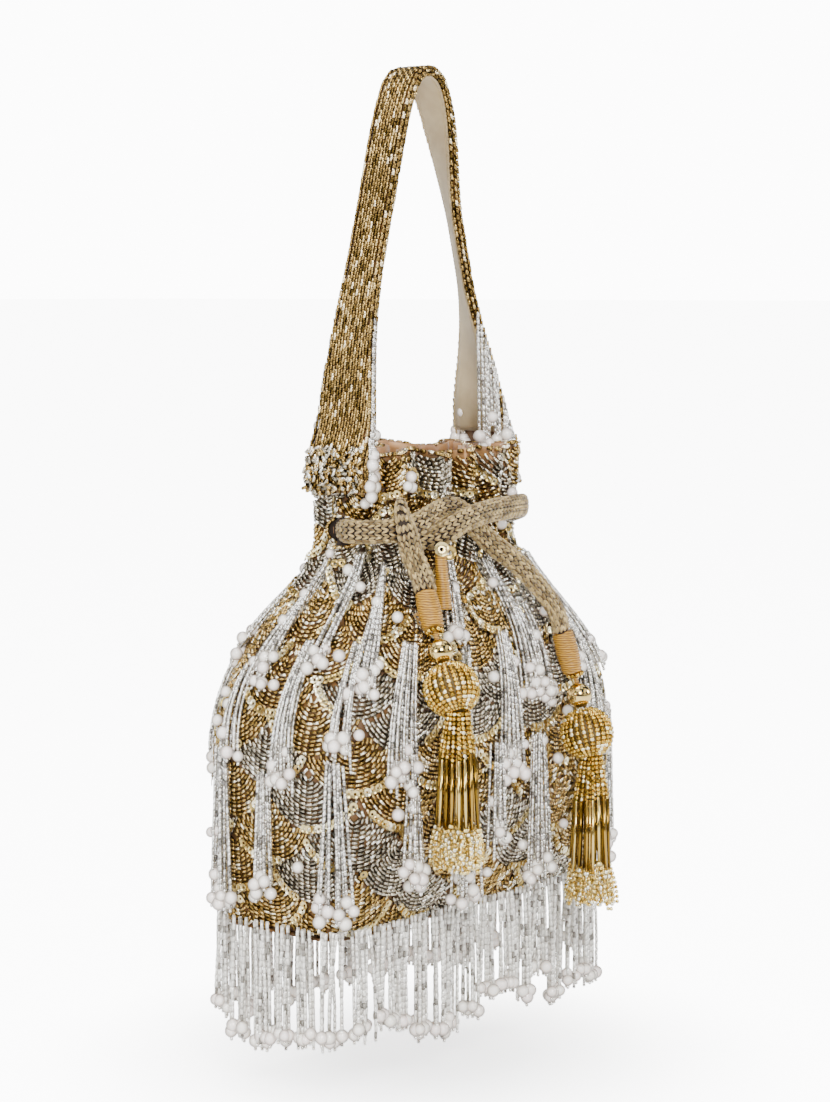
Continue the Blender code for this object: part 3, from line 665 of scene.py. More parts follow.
def smooth_route(points, count):
    """Evenly spaced points on a smooth curve through the given ones."""
    points = np.asarray(points, float)
    padded = np.vstack([2 * points[0] - points[1], points, 2 * points[-1] - points[-2]])
    t = np.linspace(0, 1, 24, endpoint=False)[:, None]
    spans = []
    for k in range(len(points) - 1):
        a, b, c, d = padded[k:k + 4]
        spans.append(0.5 * (2 * b + (c - a) * t + (2 * a - 5 * b + 4 * c - d) * t ** 2
                            + (3 * b - a - 3 * c + d) * t ** 3))
    line = np.vstack(spans + [points[-1:]])
    along = np.concatenate([[0], np.cumsum(np.linalg.norm(np.diff(line[:, :3], axis=0), axis=1))])
    wanted = np.linspace(0, along[-1], count)
    return np.column_stack([np.interp(wanted, along, line[:, k]) for k in range(points.shape[1])])


def strap_frames(count):
    """Centres, lengthwise, outward and crosswise directions, and half widths down the strap."""
    end_x = NECK_HALF[0] + STRAP_THICK / 2 + 0.0014
    half = [(0.0, 0.0), (0.0075, -0.0035), (0.0130, -0.0135), (0.0180, -0.0290), (0.0236, -0.0500),
            (0.0296, -0.0720), (0.0350, -0.0930), (0.0390, -0.1140), (0.0420, -0.1360),
            (end_x - 0.0008, Z_MOUTH - 0.0020), (end_x, Z_MOUTH - 0.5 * STRAP_OVERLAP),
            (end_x, Z_MOUTH - STRAP_OVERLAP)]
    route = [(-x, 0.0, z + STRAP_LIFT) if z > Z_MOUTH else (-x, 0.0, z) for x, z in half[::-1]]
    route += [(x, 0.0, z + STRAP_LIFT) if z > Z_MOUTH else (x, 0.0, z) for x, z in half[1:]]
    centre = smooth_route(route, count)
    along = unit(np.gradient(centre, axis=0))
    share = np.arange(count) / (count - 1)
    turn = STRAP_TWIST * ease((share - 0.52) / 0.18) * ease((0.95 - share) / 0.2)
    flat = np.column_stack([-along[:, 2], np.zeros(count), along[:, 0]])
    across = np.broadcast_to((0.0, 1.0, 0.0), (count, 3))
    c, s = np.cos(turn)[:, None], np.sin(turn)[:, None]
    outward, cross = flat * c + np.cross(along, flat) * s, across * c + np.cross(along, across) * s
    half_width = (STRAP_NARROW + (STRAP_BROAD - STRAP_NARROW) * ease((abs(share - 0.5) * 2 - 0.45) / 0.52)) / 2
    return centre, along, outward, cross, half_width


STRAP = strap_frames(560)


def band(name, low, high, trim, crown, material, keep=slice(None)):
    """A closed flat band between two heights over the strap's middle, slightly crowned."""
    centre, _, outward, cross, half_width = (field[keep][::4] for field in STRAP)
    across = np.linspace(-1, 1, 9)
    rings = []
    for k in range(len(centre)):
        w = half_width[k] - trim
        top = [centre[k] + cross[k] * w * a + outward[k] * (high - crown * a * a) for a in across]
        bottom = [centre[k] + cross[k] * w * a + outward[k] * (low + crown * a * a) for a in across[::-1]]
        rings.append(top + bottom)
    n = len(rings[0])
    faces = [(k * n + i, k * n + (i + 1) % n, (k + 1) * n + (i + 1) % n, (k + 1) * n + i)
             for k in range(len(rings) - 1) for i in range(n)]
    faces += [tuple(range(n - 1, -1, -1)), tuple(range((len(rings) - 1) * n, len(rings) * n))]
    return mesh_object(name, [p for ring in rings for p in ring], faces, material)


strap = band("strap_cloth", -STRAP_THICK / 2, STRAP_THICK / 2 - 0.0004, 0.0003, 0.0001, tan_satin)
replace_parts(strap, "handle_strap")
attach(strap, "bag")
# Beige satin: duller and greyer than the pouch's own.
beige_satin = satin("beige_satin", "#b9a47c", "#9c8761")
backing = band("strap_backing", -STRAP_LIFT, -STRAP_LIFT + BACKING_THICK, 0.0012, 0.0002, beige_satin,
               STRAP[0][:, 2] > Z_MOUTH + 0.003)
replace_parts(backing, "handle_lining")
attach(backing, "bag")

# Strap beads lie lengthwise in close rows; a row on each edge rolls over to the back.
# Each strap tube is one shade from dark brown to pale gold; the palest are painted glints.
strap_tubes = bead_material("strap_gold_glass", ((0.0, "#55431f"), (0.16, "#7d6538"), (0.45, "#9c824e"),
                                                 (0.78, "#bfa56e"), (0.93, "#f5e3b8")), 0.18)
STRAP_ALONG = np.concatenate([[0], np.cumsum(np.linalg.norm(np.diff(STRAP[0], axis=0), axis=1))])


def strap_at(s):
    """The strap's frame at a length s along it."""
    return [np.stack([np.interp(s, STRAP_ALONG, field[:, k]) for k in range(3)], axis=-1)
            for field in STRAP[:4]] + [np.interp(s, STRAP_ALONG, STRAP[4])]


def strap_rows():
    """Places of the beads: s along the strap, a across it, and how far each has rolled to the back."""
    places = []
    for row in range(-11, 12):
        s = np.arange(0.0012 + 0.0014 * (row % 2), STRAP_ALONG[-1] - 0.001, 0.00285)
        s = s + rng.uniform(-0.0002, 0.0002, len(s))
        width = strap_at(s)[4]
        a = np.full(len(s), row * 0.00142) + 0.0001 * np.sin(s * 900 + row)
        inside = np.abs(a) < width - 0.0012
        places.append(np.column_stack([s, a, np.zeros(len(s))])[inside])
    for edge in (-1, 1):
        for roll in (0.0, 1.0, 2.0):
            s = np.arange(0.001 + 0.0009 * roll, STRAP_ALONG[-1] - 0.001, 0.00285)
            a = edge * (strap_at(s)[4] + (-0.0004, 0.0001, -0.0002)[int(roll)])
            places.append(np.column_stack([s, a, np.full(len(s), roll)]))
    return np.concatenate(places)


places = strap_rows()
centre, along, outward, cross, _ = strap_at(places[:, 0])
lift = STRAP_THICK / 2 - 0.0001 - places[:, 2] * 0.0014 + rng.uniform(0, 0.0003, len(places))
centre = centre + cross * places[:, 1:2] + outward * lift[:, None]
along = unit(along + rng.normal(0, 0.035, along.shape))
sew_beads("strap_beads", tube_bead(5), centre, along, outward + cross * rng.uniform(-1, 1, (len(places), 1)),
          (0.0026, 0.00145, 0.00145), strap_tubes, "bag")

# Where the strap is sewn down, loose tubes of both colours are scattered over its end.
count = 330
s_end = np.where(rng.random(count) < 0.5, rng.uniform(0.0, 0.0175, count),
                 STRAP_ALONG[-1] - rng.uniform(0.0, 0.0175, count))
centre, along, outward, cross, width = strap_at(s_end)
centre = centre + cross * (rng.uniform(-1.0, 1.0, count) * width)[:, None] \
    + outward * (STRAP_THICK / 2 + rng.uniform(0.0006, 0.0016, count))[:, None]
turn = rng.uniform(0, math.pi, (count, 1))
for name, half, material in (("strap_end_gold", slice(0, None, 2), gold_tubes),
                             ("strap_end_silver", slice(1, None, 2), silver_tubes)):
    sew_beads(name, tube_bead(5), centre[half], (along * np.cos(turn) + cross * np.sin(turn))[half],
              outward[half], (0.0027, 0.00145, 0.00145), material, "bag")

# A welt of folded satin edges the backing.
seam_s = np.arange(0.020, STRAP_ALONG[-1] - 0.020, 0.0016)
centre, along, outward, cross, width = strap_at(seam_s)
for edge, name in ((-1, "welt_front"), (1, "welt_back")):
    line = centre + cross * (edge * (width - 0.0011))[:, None] - outward * (STRAP_LIFT - 0.0004)
    sew_beads(name, round_bead(4, 8), line, along, -outward, (0.0024, 0.0010, 0.0010), beige_satin, "bag",
              smooth=True)

# ---- Drawcord: a flat knitted cord of pale gold thread. It runs round the neck inside and comes
# out of a slot on each side; the ends are tied in a half knot in front and hang down.
THIN, FULL = 0.0025, 0.0036
LEFT_ROUTE = [
    (-0.0400, 0.0050, -0.1760, THIN), (-0.0420, 0.0012, -0.1758, THIN),
    (-0.0458, -0.0028, -0.1756, THIN), (-0.0472, -0.0088, -0.1755, THIN),
    (-0.0450, -0.0155, -0.1754, THIN), (-0.0424, -0.0222, -0.1749, THIN),
    (-0.0388, -0.0272, -0.1742, THIN), (-0.0330, -0.0298, -0.1722, THIN),
    (-0.0252, -0.0300, -0.1694, THIN), (-0.0168, -0.0306, -0.1672, THIN),
    (-0.0099, -0.0311, -0.1688, THIN), (-0.0041, -0.0317, -0.1729, THIN),
    (0.0003, -0.0328, -0.1772, THIN), (0.0056, -0.0360, -0.1830, 0.0030),
    (0.0130, -0.0412, -0.1900, FULL), (0.0214, -0.0452, -0.1990, FULL),
    (0.0284, -0.0490, -0.2094, FULL), (0.0308, -0.0508, -0.2190, FULL),
]
# The right cord passes in front of the left one, turns up behind it and over its top, and
# hangs down in front of it with the left tassel on its end.
RIGHT_ROUTE = [
    (0.0400, 0.0050, -0.1760, THIN), (0.0420, 0.0012, -0.1758, THIN),
    (0.0456, -0.0028, -0.1750, THIN), (0.0482, -0.0085, -0.1738, THIN),
    (0.0462, -0.0165, -0.1716, THIN), (0.0375, -0.0254, -0.1696, THIN),
    (0.0260, -0.0315, -0.1688, THIN), (0.0148, -0.0346, -0.1688, THIN),
    (0.0013, -0.0366, -0.1692, THIN), (-0.0079, -0.0370, -0.1704, THIN),
    (-0.0158, -0.0364, -0.1726, THIN), (-0.0221, -0.0342, -0.1760, THIN),
    (-0.0268, -0.0300, -0.1782, THIN), (-0.0306, -0.0262, -0.1772, THIN),
    (-0.0337, -0.0240, -0.1738, THIN), (-0.0358, -0.0232, -0.1694, THIN),
    (-0.0394, -0.0262, -0.1666, THIN), (-0.0432, -0.0302, -0.1686, THIN),
    (-0.0436, -0.0322, -0.1732, THIN), (-0.0412, -0.0316, -0.1780, THIN),
    (-0.0382, -0.0304, -0.1828, 0.0030), (-0.0366, -0.0316, -0.1878, FULL),
    (-0.0364, -0.0342, -0.1928, FULL), (-0.0378, -0.0372, -0.1985, FULL),
]
CORD_WIDTH, STITCH_ROW, STITCH_COLUMNS = 0.0090, 0.0027, 11

knit, tree, shader = new_material("champagne_knit", {"Roughness": 0.34, "Metallic": 0.6,
                                                     "Sheen Weight": 0.2})
bead = add_node(tree, "ShaderNodeNewGeometry")
shade = add_node(tree, "ShaderNodeValToRGB", links={"Fac": bead.outputs["Random Per Island"]})
shade.color_ramp.elements[0].color, shade.color_ramp.elements[1].color = linear("#5f4b28"), linear("#cdb27a")
tree.links.new(shade.outputs["Color"], shader.inputs["Base Color"])
place = add_node(tree, "ShaderNodeTexCoord")
# Twisted metallic thread, 0.3 mm between its plies.
ply = add_node(tree, "ShaderNodeTexWave", {"Scale": 3.2 / 0.0003 / 10, "bands_direction": "DIAGONAL"},
               {"Vector": place.outputs["Object"]})
bump = add_node(tree, "ShaderNodeBump", {"Strength": 0.4, "Distance": 0.0001}, {"Height": ply.outputs["Fac"]})
tree.links.new(bump.outputs["Normal"], shader.inputs["Normal"])
# The cord's inside, seen only as gaps between the stitches, near black as painted shade.
knit_gap_shade = new_material("cord_gap_shade", {"Base Color": linear("#2b1d0e"), "Roughness": 0.8})[0]


def stitch_leg():
    """One leg of a knitted stitch: a plump spindle, 1 long and 1 across, along x."""
    points, faces, sides = [], [], 6
    for x, radius in ((-0.5, 0.16), (-0.2, 0.46), (0.2, 0.46), (0.5, 0.16)):
        for i in range(sides):
            turn = 2 * math.pi * i / sides
            points.append((x, radius * math.cos(turn), radius * math.sin(turn)))
    for k in range(3):
        for i in range(sides):
            j = (i + 1) % sides
            faces.append((k * sides + i, k * sides + j, (k + 1) * sides + j, (k + 1) * sides + i))
    faces += [tuple(range(sides - 1, -1, -1)), tuple(range(3 * sides, 4 * sides))]
    return np.array(points), faces


def cord_frames(route, spacing):
    """Points, directions, flat side's outward direction and half thickness down a cord."""
    rough = smooth_route(route, 200)
    length = np.linalg.norm(np.diff(rough[:, :3], axis=0), axis=1).sum()
    line = smooth_route(route, int(round(length / spacing)) + 1)
    centre, half_thick = line[:, :3], line[:, 3] * 0.92
    along = unit(np.gradient(centre, axis=0))
    outward = np.column_stack([centre[:, 0] / NECK_HALF[0] ** 2, centre[:, 1] / NECK_HALF[1] ** 2,
                               np.zeros(len(centre))])
    outward = unit(outward)
    for _ in range(12):
        outward[1:-1] = (outward[:-2] + outward[1:-1] + outward[2:]) / 3
        outward = unit(outward - along * (outward * along).sum(1, keepdims=True))
    return centre, along, outward, np.minimum(half_thick, 0.0027), length


def knitted_cord(name, route, node):
    centre, along, outward, half_thick, length = cord_frames(route, STITCH_ROW)
    side = np.cross(along, outward)
    half_wide = CORD_WIDTH / 2 * (0.86 + 0.14 * ease(np.arange(len(centre)) / 4.0))
    legs = []
    for column in range(STITCH_COLUMNS):
        for lean in (-1, 1):
            turns = 2 * math.pi * (column + 0.5 + np.array([0.47, 0.09]) * lean) / STITCH_COLUMNS
            ends = []
            for turn, shift in zip(turns, (0.60, -0.46)):
                bulge = np.sign(np.sin(turn)) * abs(np.sin(turn)) ** 0.8
                ends.append(centre + side * (half_wide * 0.94 * math.cos(turn))[:, None]
                            + outward * (half_thick * 0.90 * bulge)[:, None]
                            + along * (STITCH_ROW * shift))
            out = side * (math.cos(turns.mean()) / half_wide)[:, None] \
                + outward * (math.sin(turns.mean()) / half_thick)[:, None]
            legs.append(np.concatenate([(ends[0] + ends[1]) / 2, ends[1] - ends[0], out], axis=1)[1:-1])
    legs = np.concatenate(legs)
    size = np.column_stack([np.linalg.norm(legs[:, 3:6], axis=1) * 1.02, np.full(len(legs), 0.00108),
                            np.full(len(legs), 0.00125)])
    made = sew_beads(name, stitch_leg(), legs[:, :3], legs[:, 3:6], legs[:, 6:9], size, knit, "bag",
                     smooth=True)
    core_points, sides = [], 16
    for k in range(len(centre)):
        for i in range(sides):
            turn = 2 * math.pi * i / sides
            core_points.append(centre[k] + side[k] * half_wide[k] * 0.80 * math.cos(turn)
                               + outward[k] * half_thick[k] * 0.66 * math.sin(turn))
    faces = [(k * sides + i, k * sides + (i + 1) % sides, (k + 1) * sides + (i + 1) % sides,
              (k + 1) * sides + i) for k in range(len(centre) - 1) for i in range(sides)]
    faces += [tuple(range(sides - 1, -1, -1)), tuple(range(len(core_points) - sides, len(core_points)))]
    core = mesh_object(name + "_core", core_points, faces, knit_gap_shade)
    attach(core, "bag")
    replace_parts(made, node)
    path = smooth_route(route, 160)[:, :3]
    return made, core, path, length


cord_left, core_left, path_left, length_left = knitted_cord("cord_left", LEFT_ROUTE, "drawcord_left")
cord_right, core_right, path_right, length_right = knitted_cord("cord_right", RIGHT_ROUTE, "drawcord_right")
casing_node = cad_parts["drawcord_casing_run"]
casing_node.data.materials.clear()
casing_node.data.materials.append(knit)

# ---- Cord tassels: each cord end is bound with tan thread, then come a ring of seed beads, a
# polished gilt ball, a head sewn over with rows of seed beads, long bugles, and looped seed beads.
# Tan rayon thread, wound on a slight slant: a silky orange tan.
wound_thread, tree, shader = new_material("tan_rayon_thread", {"Roughness": 0.42})
place = add_node(tree, "ShaderNodeTexCoord")
# Wraps 0.9 mm apart, with painted shade in the grooves between them.
painted_groove_shade = add_node(tree, "ShaderNodeTexWave", {"Scale": 0.314 / 0.0009, "Distortion": 2.5, "Detail": 1.0,
                                              "Detail Scale": 1.5, "bands_direction": "Z"},
                  {"Vector": place.outputs["Object"]})
shade = add_node(tree, "ShaderNodeValToRGB", links={"Fac": painted_groove_shade.outputs["Fac"]})
shade.color_ramp.elements[0].position, shade.color_ramp.elements[1].position = 0.3, 0.7
shade.color_ramp.elements[0].color, shade.color_ramp.elements[1].color = linear("#74500a"), linear("#c08d2a")
tree.links.new(shade.outputs["Color"], shader.inputs["Base Color"])
# The head's wooden core is wrapped in dull gold floss, coloured darker than its gold as painted shade between
# the beads.
head_thread = new_material("gold_floss", {"Base Color": linear("#5f4a17"), "Roughness": 0.6})[0]
# Gilt brass, polished: it mirrors the room, with faint hairlines from buffing.
gilt, tree, shader = new_material("polished_gilt_brass", {"Base Color": linear("#e6c983"), "Metallic": 1.0,
                                                          "Roughness": 0.08})
place = add_node(tree, "ShaderNodeTexCoord")
hairs = add_node(tree, "ShaderNodeTexNoise", {"Scale": 1200.0, "Detail": 2.0},
                 {"Vector": place.outputs["Object"]})
spread = add_node(tree, "ShaderNodeMapRange", {"To Min": 0.05, "To Max": 0.13}, {"Value": hairs.outputs["Fac"]})
tree.links.new(spread.outputs["Result"], shader.inputs["Roughness"])
# Gold-lined round seed beads and long gold bugles: warm yellow, glassy; the palest seed beads are painted
# glints.
seed_gold = bead_material("gold_seed_glass", ((0.0, "#92742a"), (0.2, "#ba9642"), (0.5, "#d6b65e"),
                                              (0.84, "#fff4cc")), 0.18)
hem_gold = bead_material("pale_gold_seed_glass", ((0.0, "#b8984a"), (0.2, "#dcc070"), (0.5, "#f0dc98"),
                                                  (0.80, "#fffbe4")), 0.22, 0.85)
bugle_gold = bead_material("gold_bugle_glass", ((0.0, "#7c6020"), (0.3, "#a98840"), (0.7, "#dcc278")), 0.16)


def turned(name, start, direction, profile, material, body, sides=40, wind=None):
    """A closed turned shape. profile is (distance, radius) from its start; wind adds a thread's ridges."""
    direction = unit(np.asarray(direction, float))
    aside = unit(np.cross(direction, (0.0, 1.0, 0.3)))
    other = np.cross(direction, aside)
    points = []
    for distance, radius in profile:
        for i in range(sides):
            turn = 2 * math.pi * i / sides
            r = radius
            if wind is not None:
                r += wind[1] * abs(math.cos(math.pi * distance / wind[0] + turn / 2))
            points.append(np.asarray(start) + direction * distance
                          + (aside * math.cos(turn) + other * math.sin(turn)) * r)
    n = len(profile)
    faces = [(k * sides + i, k * sides + (i + 1) % sides, (k + 1) * sides + (i + 1) % sides,
              (k + 1) * sides + i) for k in range(n - 1) for i in range(sides)]
    faces += [tuple(range(sides - 1, -1, -1)), tuple(range((n - 1) * sides, n * sides))]
    made = mesh_object(name, points, faces, material)
    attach(made, body)
    return made


def cord_tassel(side, path, wrap_length, pivot, lean, seed):
    """Everything on one cord end, from its thread binding down. Returns the pieces."""
    body, made = f"tassel_{side}", []
    cord_way = unit(path[-1] - path[-4])
    tip = path[-1] - cord_way * 0.0004
    steps = np.linspace(0, wrap_length + 0.0004, 90)
    profile = [(d, 0.0036 + 0.0006 * math.sin(math.pi * min(d / wrap_length * 0.9 + 0.08, 1))) for d in steps]
    made.append(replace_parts(turned(f"thread_binding_{side}", tip, cord_way, profile, wound_thread, "bag",
                                   wind=(0.0013, 0.0004)), f"thread_wrap_{side}"))
    low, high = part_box(f"bead_ring_{side}")
    middle = np.array((low + high) / 2)
    aside = unit(np.cross(cord_way, (0.0, 1.0, 0.3)))
    other = np.cross(cord_way, aside)
    turns = np.arange(9) / 9 * 2 * math.pi
    ring = middle + (np.cos(turns)[:, None] * aside + np.sin(turns)[:, None] * other) * 0.0028
    made.append(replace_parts(sew_beads(f"seed_ring_{side}", round_bead(6, 10), ring, cord_way,
                                      ring - middle, 0.0020, seed_gold, "bag", smooth=True),
                            f"bead_ring_{side}"))
    pivot, lean = np.array(pivot), unit(np.array(lean, float))
    low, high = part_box(f"metal_bead_{side}")
    ball, radius = np.array((low + high) / 2), (high.z - low.z) / 2
    arc = np.linspace(0.22, math.pi - 0.22, 30)
    profile = [(radius * (1 - math.cos(a)), radius * math.sin(a)) for a in arc]
    made.append(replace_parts(turned(f"gilt_ball_{side}", ball - lean * radius, lean, profile, gilt, body,
                                   56), f"metal_bead_{side}"))
    made.append(turned(f"hanging_thread_{side}", pivot - lean * 0.0012, lean,
                       [(d, 0.0008) for d in np.linspace(0, 0.0062, 12)], wound_thread, body, 12,
                       wind=(0.0008, 0.0002)))
    low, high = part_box(f"tassel_head_{side}")
    head, head_radius, head_half = np.array((low + high) / 2), 0.0109, 0.0100
    profile = [(head_half * (1 - math.cos(a)), (head_radius - 0.0014) * math.sin(a) ** 0.8)
               for a in np.linspace(0.2, math.pi - 0.2, 18)]
    made.append(turned(f"head_core_{side}", head - lean * head_half, lean, profile, head_thread, body,
                       32))
    aside = unit(np.cross(lean, (0.0, 1.0, 0.3)))
    other = np.cross(lean, aside)
    places, alongs, outs = [], [], []
    arcs = np.linspace(0.30, math.pi - 0.30, 15)
    for column in range(24):
        turn = 2 * math.pi * column / 24
        out = aside * math.cos(turn) + other * math.sin(turn)
        for a in arcs:
            radius = (head_radius - 0.0009) * math.sin(a) ** 0.8
            places.append(head - lean * head_half * math.cos(a) * 0.93 + out * radius)
            alongs.append(lean * math.sin(a) + out * math.cos(a))
            outs.append(out)
    squeeze = np.array([min(1.0, np.sin(a) + 0.25) for a in np.tile(arcs, 24)])
    size = np.column_stack([np.full(len(places), 0.00185), 0.0023 * squeeze, np.full(len(places), 0.0022)])
    made.append(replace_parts(sew_beads(f"head_beads_{side}", round_bead(4, 7), places, alongs, outs, size,
                                      seed_gold, body, smooth=True), f"tassel_head_{side}"))
    top = head + lean * head_half * 0.96 + (0, 0, 0.0006)
    skirt_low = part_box(f"tassel_bugles_{side}")[0].z
    hem_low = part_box(f"tassel_loops_{side}")[0].z
    local = np.random.default_rng(seed)
    small, long, hem = [], [], []
    for k in range(34):
        turn = 2 * math.pi * (k + local.uniform(-0.25, 0.25)) / 34
        out = np.array((math.cos(turn), math.sin(turn), 0.0))
        inner = 0.70 if k % 2 == 0 else 1.0
        neck = top + out * 0.0040 * inner
        knee = np.array((*(top[:2] + out[:2] * 0.0066 * inner), skirt_low + 0.026 + local.uniform(-.002, .002)))
        foot = np.array((*(top[:2] + out[:2] * (0.0078 + local.uniform(-.0006, .0006)) * inner),
                         skirt_low - 0.001 + local.uniform(-0.003, 0.003)))
        steps = max(3, int(np.linalg.norm(knee - neck) / 0.0017))
        for n in range(steps):
            small.append((*(neck + (knee - neck) * (n + 0.4) / steps), *(knee - neck)))
        long.append((*((knee + foot) / 2), *(foot - knee)))
        splay = out * local.uniform(0.0, 0.0034)
        drop = foot[2] - hem_low - local.uniform(0.0, 0.0035)
        count = int(drop / 0.0017)
        for n in range(count):
            t = (n + 0.5) / count
            hem.append((*(foot + splay * math.sin(t * 1.6) + (0, 0, -drop * t)
                          + np.array((-out[1], out[0], 0)) * 0.0018 * math.sin(t * math.pi)), 0.0, 0.0, -1.0))
            hem.append((*(foot + splay * math.sin(t * 1.6) * 0.6 + (0, 0, -drop * t)
                          - np.array((-out[1], out[0], 0)) * 0.0020 * math.sin(t * math.pi)), 0.0, 0.0, -1.0))
    small, long, hem = np.array(small), np.array(long), np.array(hem)
    made.append(sew_beads(f"skirt_seeds_{side}", round_bead(4, 7), small[:, :3], small[:, 3:], (0.3, 1, 0),
                          0.0018, seed_gold, body, smooth=True))
    size = np.column_stack([np.linalg.norm(long[:, 3:], axis=1) * 0.985, np.full(len(long), 0.0014),
                            np.full(len(long), 0.0014)])
    made.append(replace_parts(sew_beads(f"skirt_bugles_{side}", tube_bead(9), long[:, :3], long[:, 3:],
                                      (0.3, 1, 0), size, bugle_gold, body),
                            f"tassel_bugles_{side}"))
    made.append(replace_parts(sew_beads(f"hem_loops_{side}", round_bead(3, 6), hem[:, :3], hem[:, 3:],
                                      (0.3, 1, 0), 0.0018, hem_gold, body, smooth=True),
                            f"tassel_loops_{side}"))
    return made


on_left = cord_tassel("left", path_right, 0.0140, (-0.04107, -0.04421, -0.21182), (-0.20, -0.56, -1), 3)
on_right = cord_tassel("right", path_left, 0.0160, (0.03495, -0.05391, -0.23561), (-0.05, -0.30, -1), 4)

# A bound stub of the strap's thread hangs behind the knot, with two sequins sewn on its top.
stub_top = np.array((-0.0265, -0.0350, -0.1835))
profile = [(d, 0.0018 + 0.0012 * d / 0.022) for d in np.linspace(0, 0.022, 50)]
turned("bound_stub", stub_top, (-0.05, -0.12, -1), profile, wound_thread, "bag",
       wind=(0.0013, 0.0004))
stub_spots = [stub_top + (-0.0012, -0.0016, 0.0014), stub_top + (0.002, -0.0026, 0)]
sew_beads("stub_sequins", cup_sequin(14), stub_spots,
          [(1, -1, 0), (1, -1, 0.2)], [(-0.7, -0.7, 0.3), (-0.5, -0.8, 0.1)], 0.0058, gold_sequins, "bag",
          smooth=True)

# ---- Fringe: strands of silver-lined cut tubes sewn to the cloth in tufts, row above row, each strand ending in a tiny stop bead, most of them below a pearl; the longest row hangs from the foot seam.
# Silver-lined fringe tubes: the few darkest are painted dark reflections, the whitest painted glints.
fringe_tubes = bead_material("fringe_silver_glass", ((0.0, "#8d8983"), (0.08, "#c2beb6"), (0.25, "#e0dcd4"),
                                                     (0.50, "#f4f1ea"), (0.75, "#fffefb")), 0.18, 0.85)
# The foot's strands hang free: paler, milky silver-lined tubes, with the light coming through them painted into
# their colour; the few darkest are painted dark reflections.
foot_tubes = bead_material("milky_silver_glass", ((0.0, "#8f8b83"), (0.08, "#dedad2"), (0.25, "#f3f0e9"),
                                                  (0.60, "#fffdf7")), 0.20, 0.45)
FRINGE_TUBE, FRINGE_PITCH, FRINGE_WIDTH = 0.00235, 0.0025, 0.00135
PEARL = 0.0053


def strand_line(share, top, clear, drift, length):
    """A strand's line: down over the widening cloth, then straight down from the belly."""
    levels = np.linspace(top, top - length - 0.006, 90)
    on = on_pouch(np.full(90, share) + drift * (top - levels) / length, np.maximum(levels, Z_BELLY + 0.004))
    out = unit(on_pouch(np.full(90, share), np.maximum(levels, Z_BELLY + 0.004), OUTWARD) * (1, 1, 0))
    line = on + out * (clear + 0.0012 * np.linspace(0, 1, 90)[:, None])
    line[:, 2] = levels
    return line


def hang_strand(line, length, beads, pearls, stops, local, pearled=True):
    """Threads tubes down a line and ends it with a stop bead, with a pearl above it when pearled."""
    along = np.concatenate([[0], np.cumsum(np.linalg.norm(np.diff(line, axis=0), axis=1))])
    length = min(length, along[-1] - 0.001)
    s = np.arange(FRINGE_PITCH / 2, length - (PEARL if pearled else 0), FRINGE_PITCH)
    at = np.stack([np.interp(s, along, line[:, k]) for k in range(3)], axis=1)
    ahead = np.stack([np.interp(s + 0.001, along, line[:, k]) for k in range(3)], axis=1)
    beads.append(np.concatenate([at, ahead - at], axis=1))
    end = s[-1] + FRINGE_PITCH / 2

    def place(beyond):
        return np.array([np.interp(end + beyond, along, line[:, k]) for k in range(3)])

    if pearled:
        size = PEARL * local.uniform(0.86, 1.06)
        pearls.append((*place(size * 0.5), size))
        stops.append(place(size + 0.0006))
    else:
        stops.append(place(0.0007))


def finish_tuft(name, beads, pearls, stops, local, node=None, glass=fringe_tubes):
    beads = np.concatenate(beads)
    size = np.column_stack([np.full(len(beads), FRINGE_TUBE), np.full(len(beads), FRINGE_WIDTH),
                            np.full(len(beads), FRINGE_WIDTH)])
    roll = np.column_stack([local.normal(size=(len(beads), 2)), np.full(len(beads), 0.01)])
    made = sew_beads(name, tube_bead(5), beads[:, :3], beads[:, 3:] + local.normal(0, 0.00006, (len(beads), 3)),
                     roll, size, glass, "bag")
    if pearls:
        pearls = np.array(pearls)
        sew_beads(name + "_pearls", round_bead(7, 11), pearls[:, :3], (0, 0, 1), (1, 0.2, 0), pearls[:, 3:],
                  pearl, "bag", smooth=True)
    sew_beads(name + "_stops", round_bead(3, 6), stops, (0, 0, 1), (1, 0.2, 0), 0.0016, fringe_tubes, "bag")
    if node:
        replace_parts(made, node)


def tuft(share, top, length, strands, spread, local, beads, pearls, stops, pearl_odds=0.62):
    """One tuft on the cloth: strands from one stitch, splayed as they fall."""
    for k in range(strands):
        aim = (k - (strands - 1) / 2) / max(strands - 1, 1)
        offset = aim * spread * 0.35 + local.normal(0, 0.0006)
        line = strand_line(share + offset / GIRTH, top + local.uniform(-0.001, 0.001),
                           0.0008 + 0.0014 * (k % 3), aim * spread * 0.65 / GIRTH, length)
        hang_strand(line, length * local.uniform(0.82, 1.0), beads, pearls, stops, local,
                    local.random() < pearl_odds)


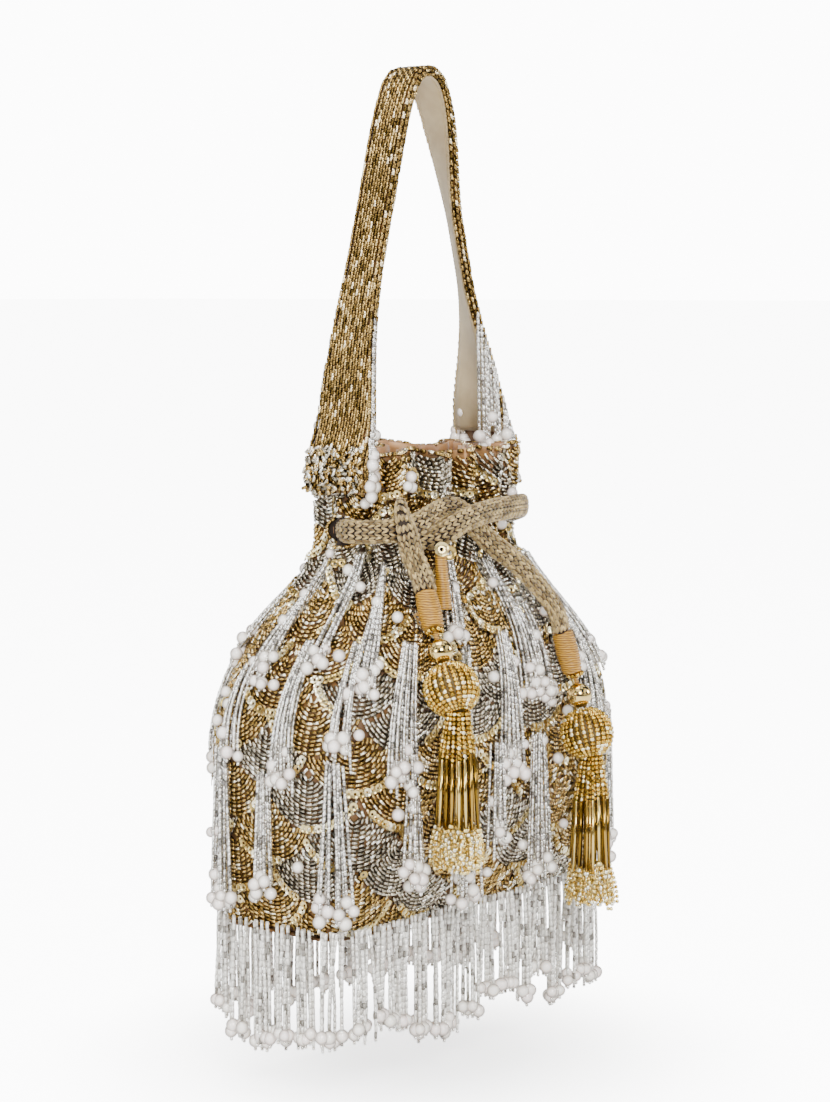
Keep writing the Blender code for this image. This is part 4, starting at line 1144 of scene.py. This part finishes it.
ROWS = (("neck", -0.188, 0.0609, (.035, .155, .300, .445, .585, .725, .830)),
        ("shoulder", -0.216, 0.0609, (0, .120, .240, .375, .500, .640, .770, .870)),
        ("belly", -0.258, 0.0638, (.040, .180, .310, .445, .560, .700, .815, .940)))
for row, top, length, shares in ROWS:
    for k, share in enumerate(shares):
        local = np.random.default_rng(100 * len(row) + k)
        beads, pearls, stops = [], [], []
        tuft(share, top, length, 12, 0.014, local, beads, pearls, stops)
        finish_tuft(f"{row}_tuft_{k + 1}", beads, pearls, stops, local, f"fringe_{row}_{k + 1}")
    # Between the main tufts, thinner ones at uneven heights fill the row.
    local = np.random.default_rng(len(row))
    beads, pearls, stops = [], [], []
    for k, share in enumerate(shares):
        ahead = shares[(k + 1) % len(shares)] + (1.0 if k + 1 == len(shares) else 0.0)
        tuft((share + ahead) / 2 + local.uniform(-0.01, 0.01), top + local.uniform(-0.012, 0.010),
             length * local.uniform(0.6, 0.98), 8, 0.010, local, beads, pearls, stops)
    finish_tuft(f"{row}_fill", beads, pearls, stops, local)

# The foot's fringe: a tuft every 10 mm along the seam, longer in some places than in others.
BASE_LINE_TOP = Z_BASE + 0.003
for group in range(10):
    local = np.random.default_rng(700 + group)
    beads, pearls, stops = [], [], []
    for k in range(4):
        share = (group + (k + 0.5) / 4) / 10
        length = 0.0545 * local.uniform(0.70, 1.0)
        for n in range(8):
            spot = share + (n - 3.5) * 0.00105 / GIRTH + local.normal(0, 0.0004)
            start = on_pouch(spot, BASE_LINE_TOP)
            out = unit(on_pouch(spot, BASE_LINE_TOP, OUTWARD) * (1, 1, 0))
            t = np.linspace(0, 1, 40)[:, None]
            line = start + out * (0.0016 + 0.0012 * (n % 3)) + t * (0, 0, -0.062) \
                + np.sin(t * 2.5) * local.normal(0, 0.0012, 3) * (1, 1, 0)
            hang_strand(line, length * local.uniform(0.92, 1.0), beads, pearls, stops, local,
                        local.random() < 0.7)
    finish_tuft(f"foot_fringe_{group + 1}", beads, pearls, stops, local, f"fringe_base_{group + 1}", foot_tubes)

# On the strap's edges, short strands drop from the binding towards the rim.
for side, sign_x in (("left", -1), ("right", 1)):
    for face, sign_y in (("front", -1), ("back", 1)):
        local = np.random.default_rng(50 + 3 * sign_x + sign_y)
        low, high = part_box(f"fringe_handle_{side}_{face}")
        beads, pearls, stops = [], [], []
        s_all = np.linspace(0, STRAP_ALONG[-1], 400)
        centre, along, outward, cross, width = strap_at(s_all)
        wanted = (centre[:, 0] * sign_x > 0) & (centre[:, 2] < -0.090) & (centre[:, 2] > Z_MOUTH + 0.002)
        for s in np.sort(local.choice(s_all[wanted], 17, replace=False)):
            c, _, o, a, w = strap_at(np.array([s]))
            start = c[0] + a[0] * sign_y * (w[0] + 0.0008) + o[0] * 0.0004
            t = np.linspace(0, 1, 40)[:, None]
            reach = start[2] - (Z_MOUTH + local.uniform(-0.020, 0.010))
            length = min(max(reach, 0.016), 0.052)
            line = start + t * (0, 0, -length - 0.01) + np.sin(t * 1.4) * np.array(
                (local.normal(0, 0.0007) + sign_x * 0.0008, sign_y * local.uniform(0.0002, 0.0016), 0))
            hang_strand(line, length, beads, pearls, stops, local, local.random() < 0.75)
        finish_tuft(f"strap_tuft_{side}_{face}", beads, pearls, stops, local, f"fringe_handle_{side}_{face}")
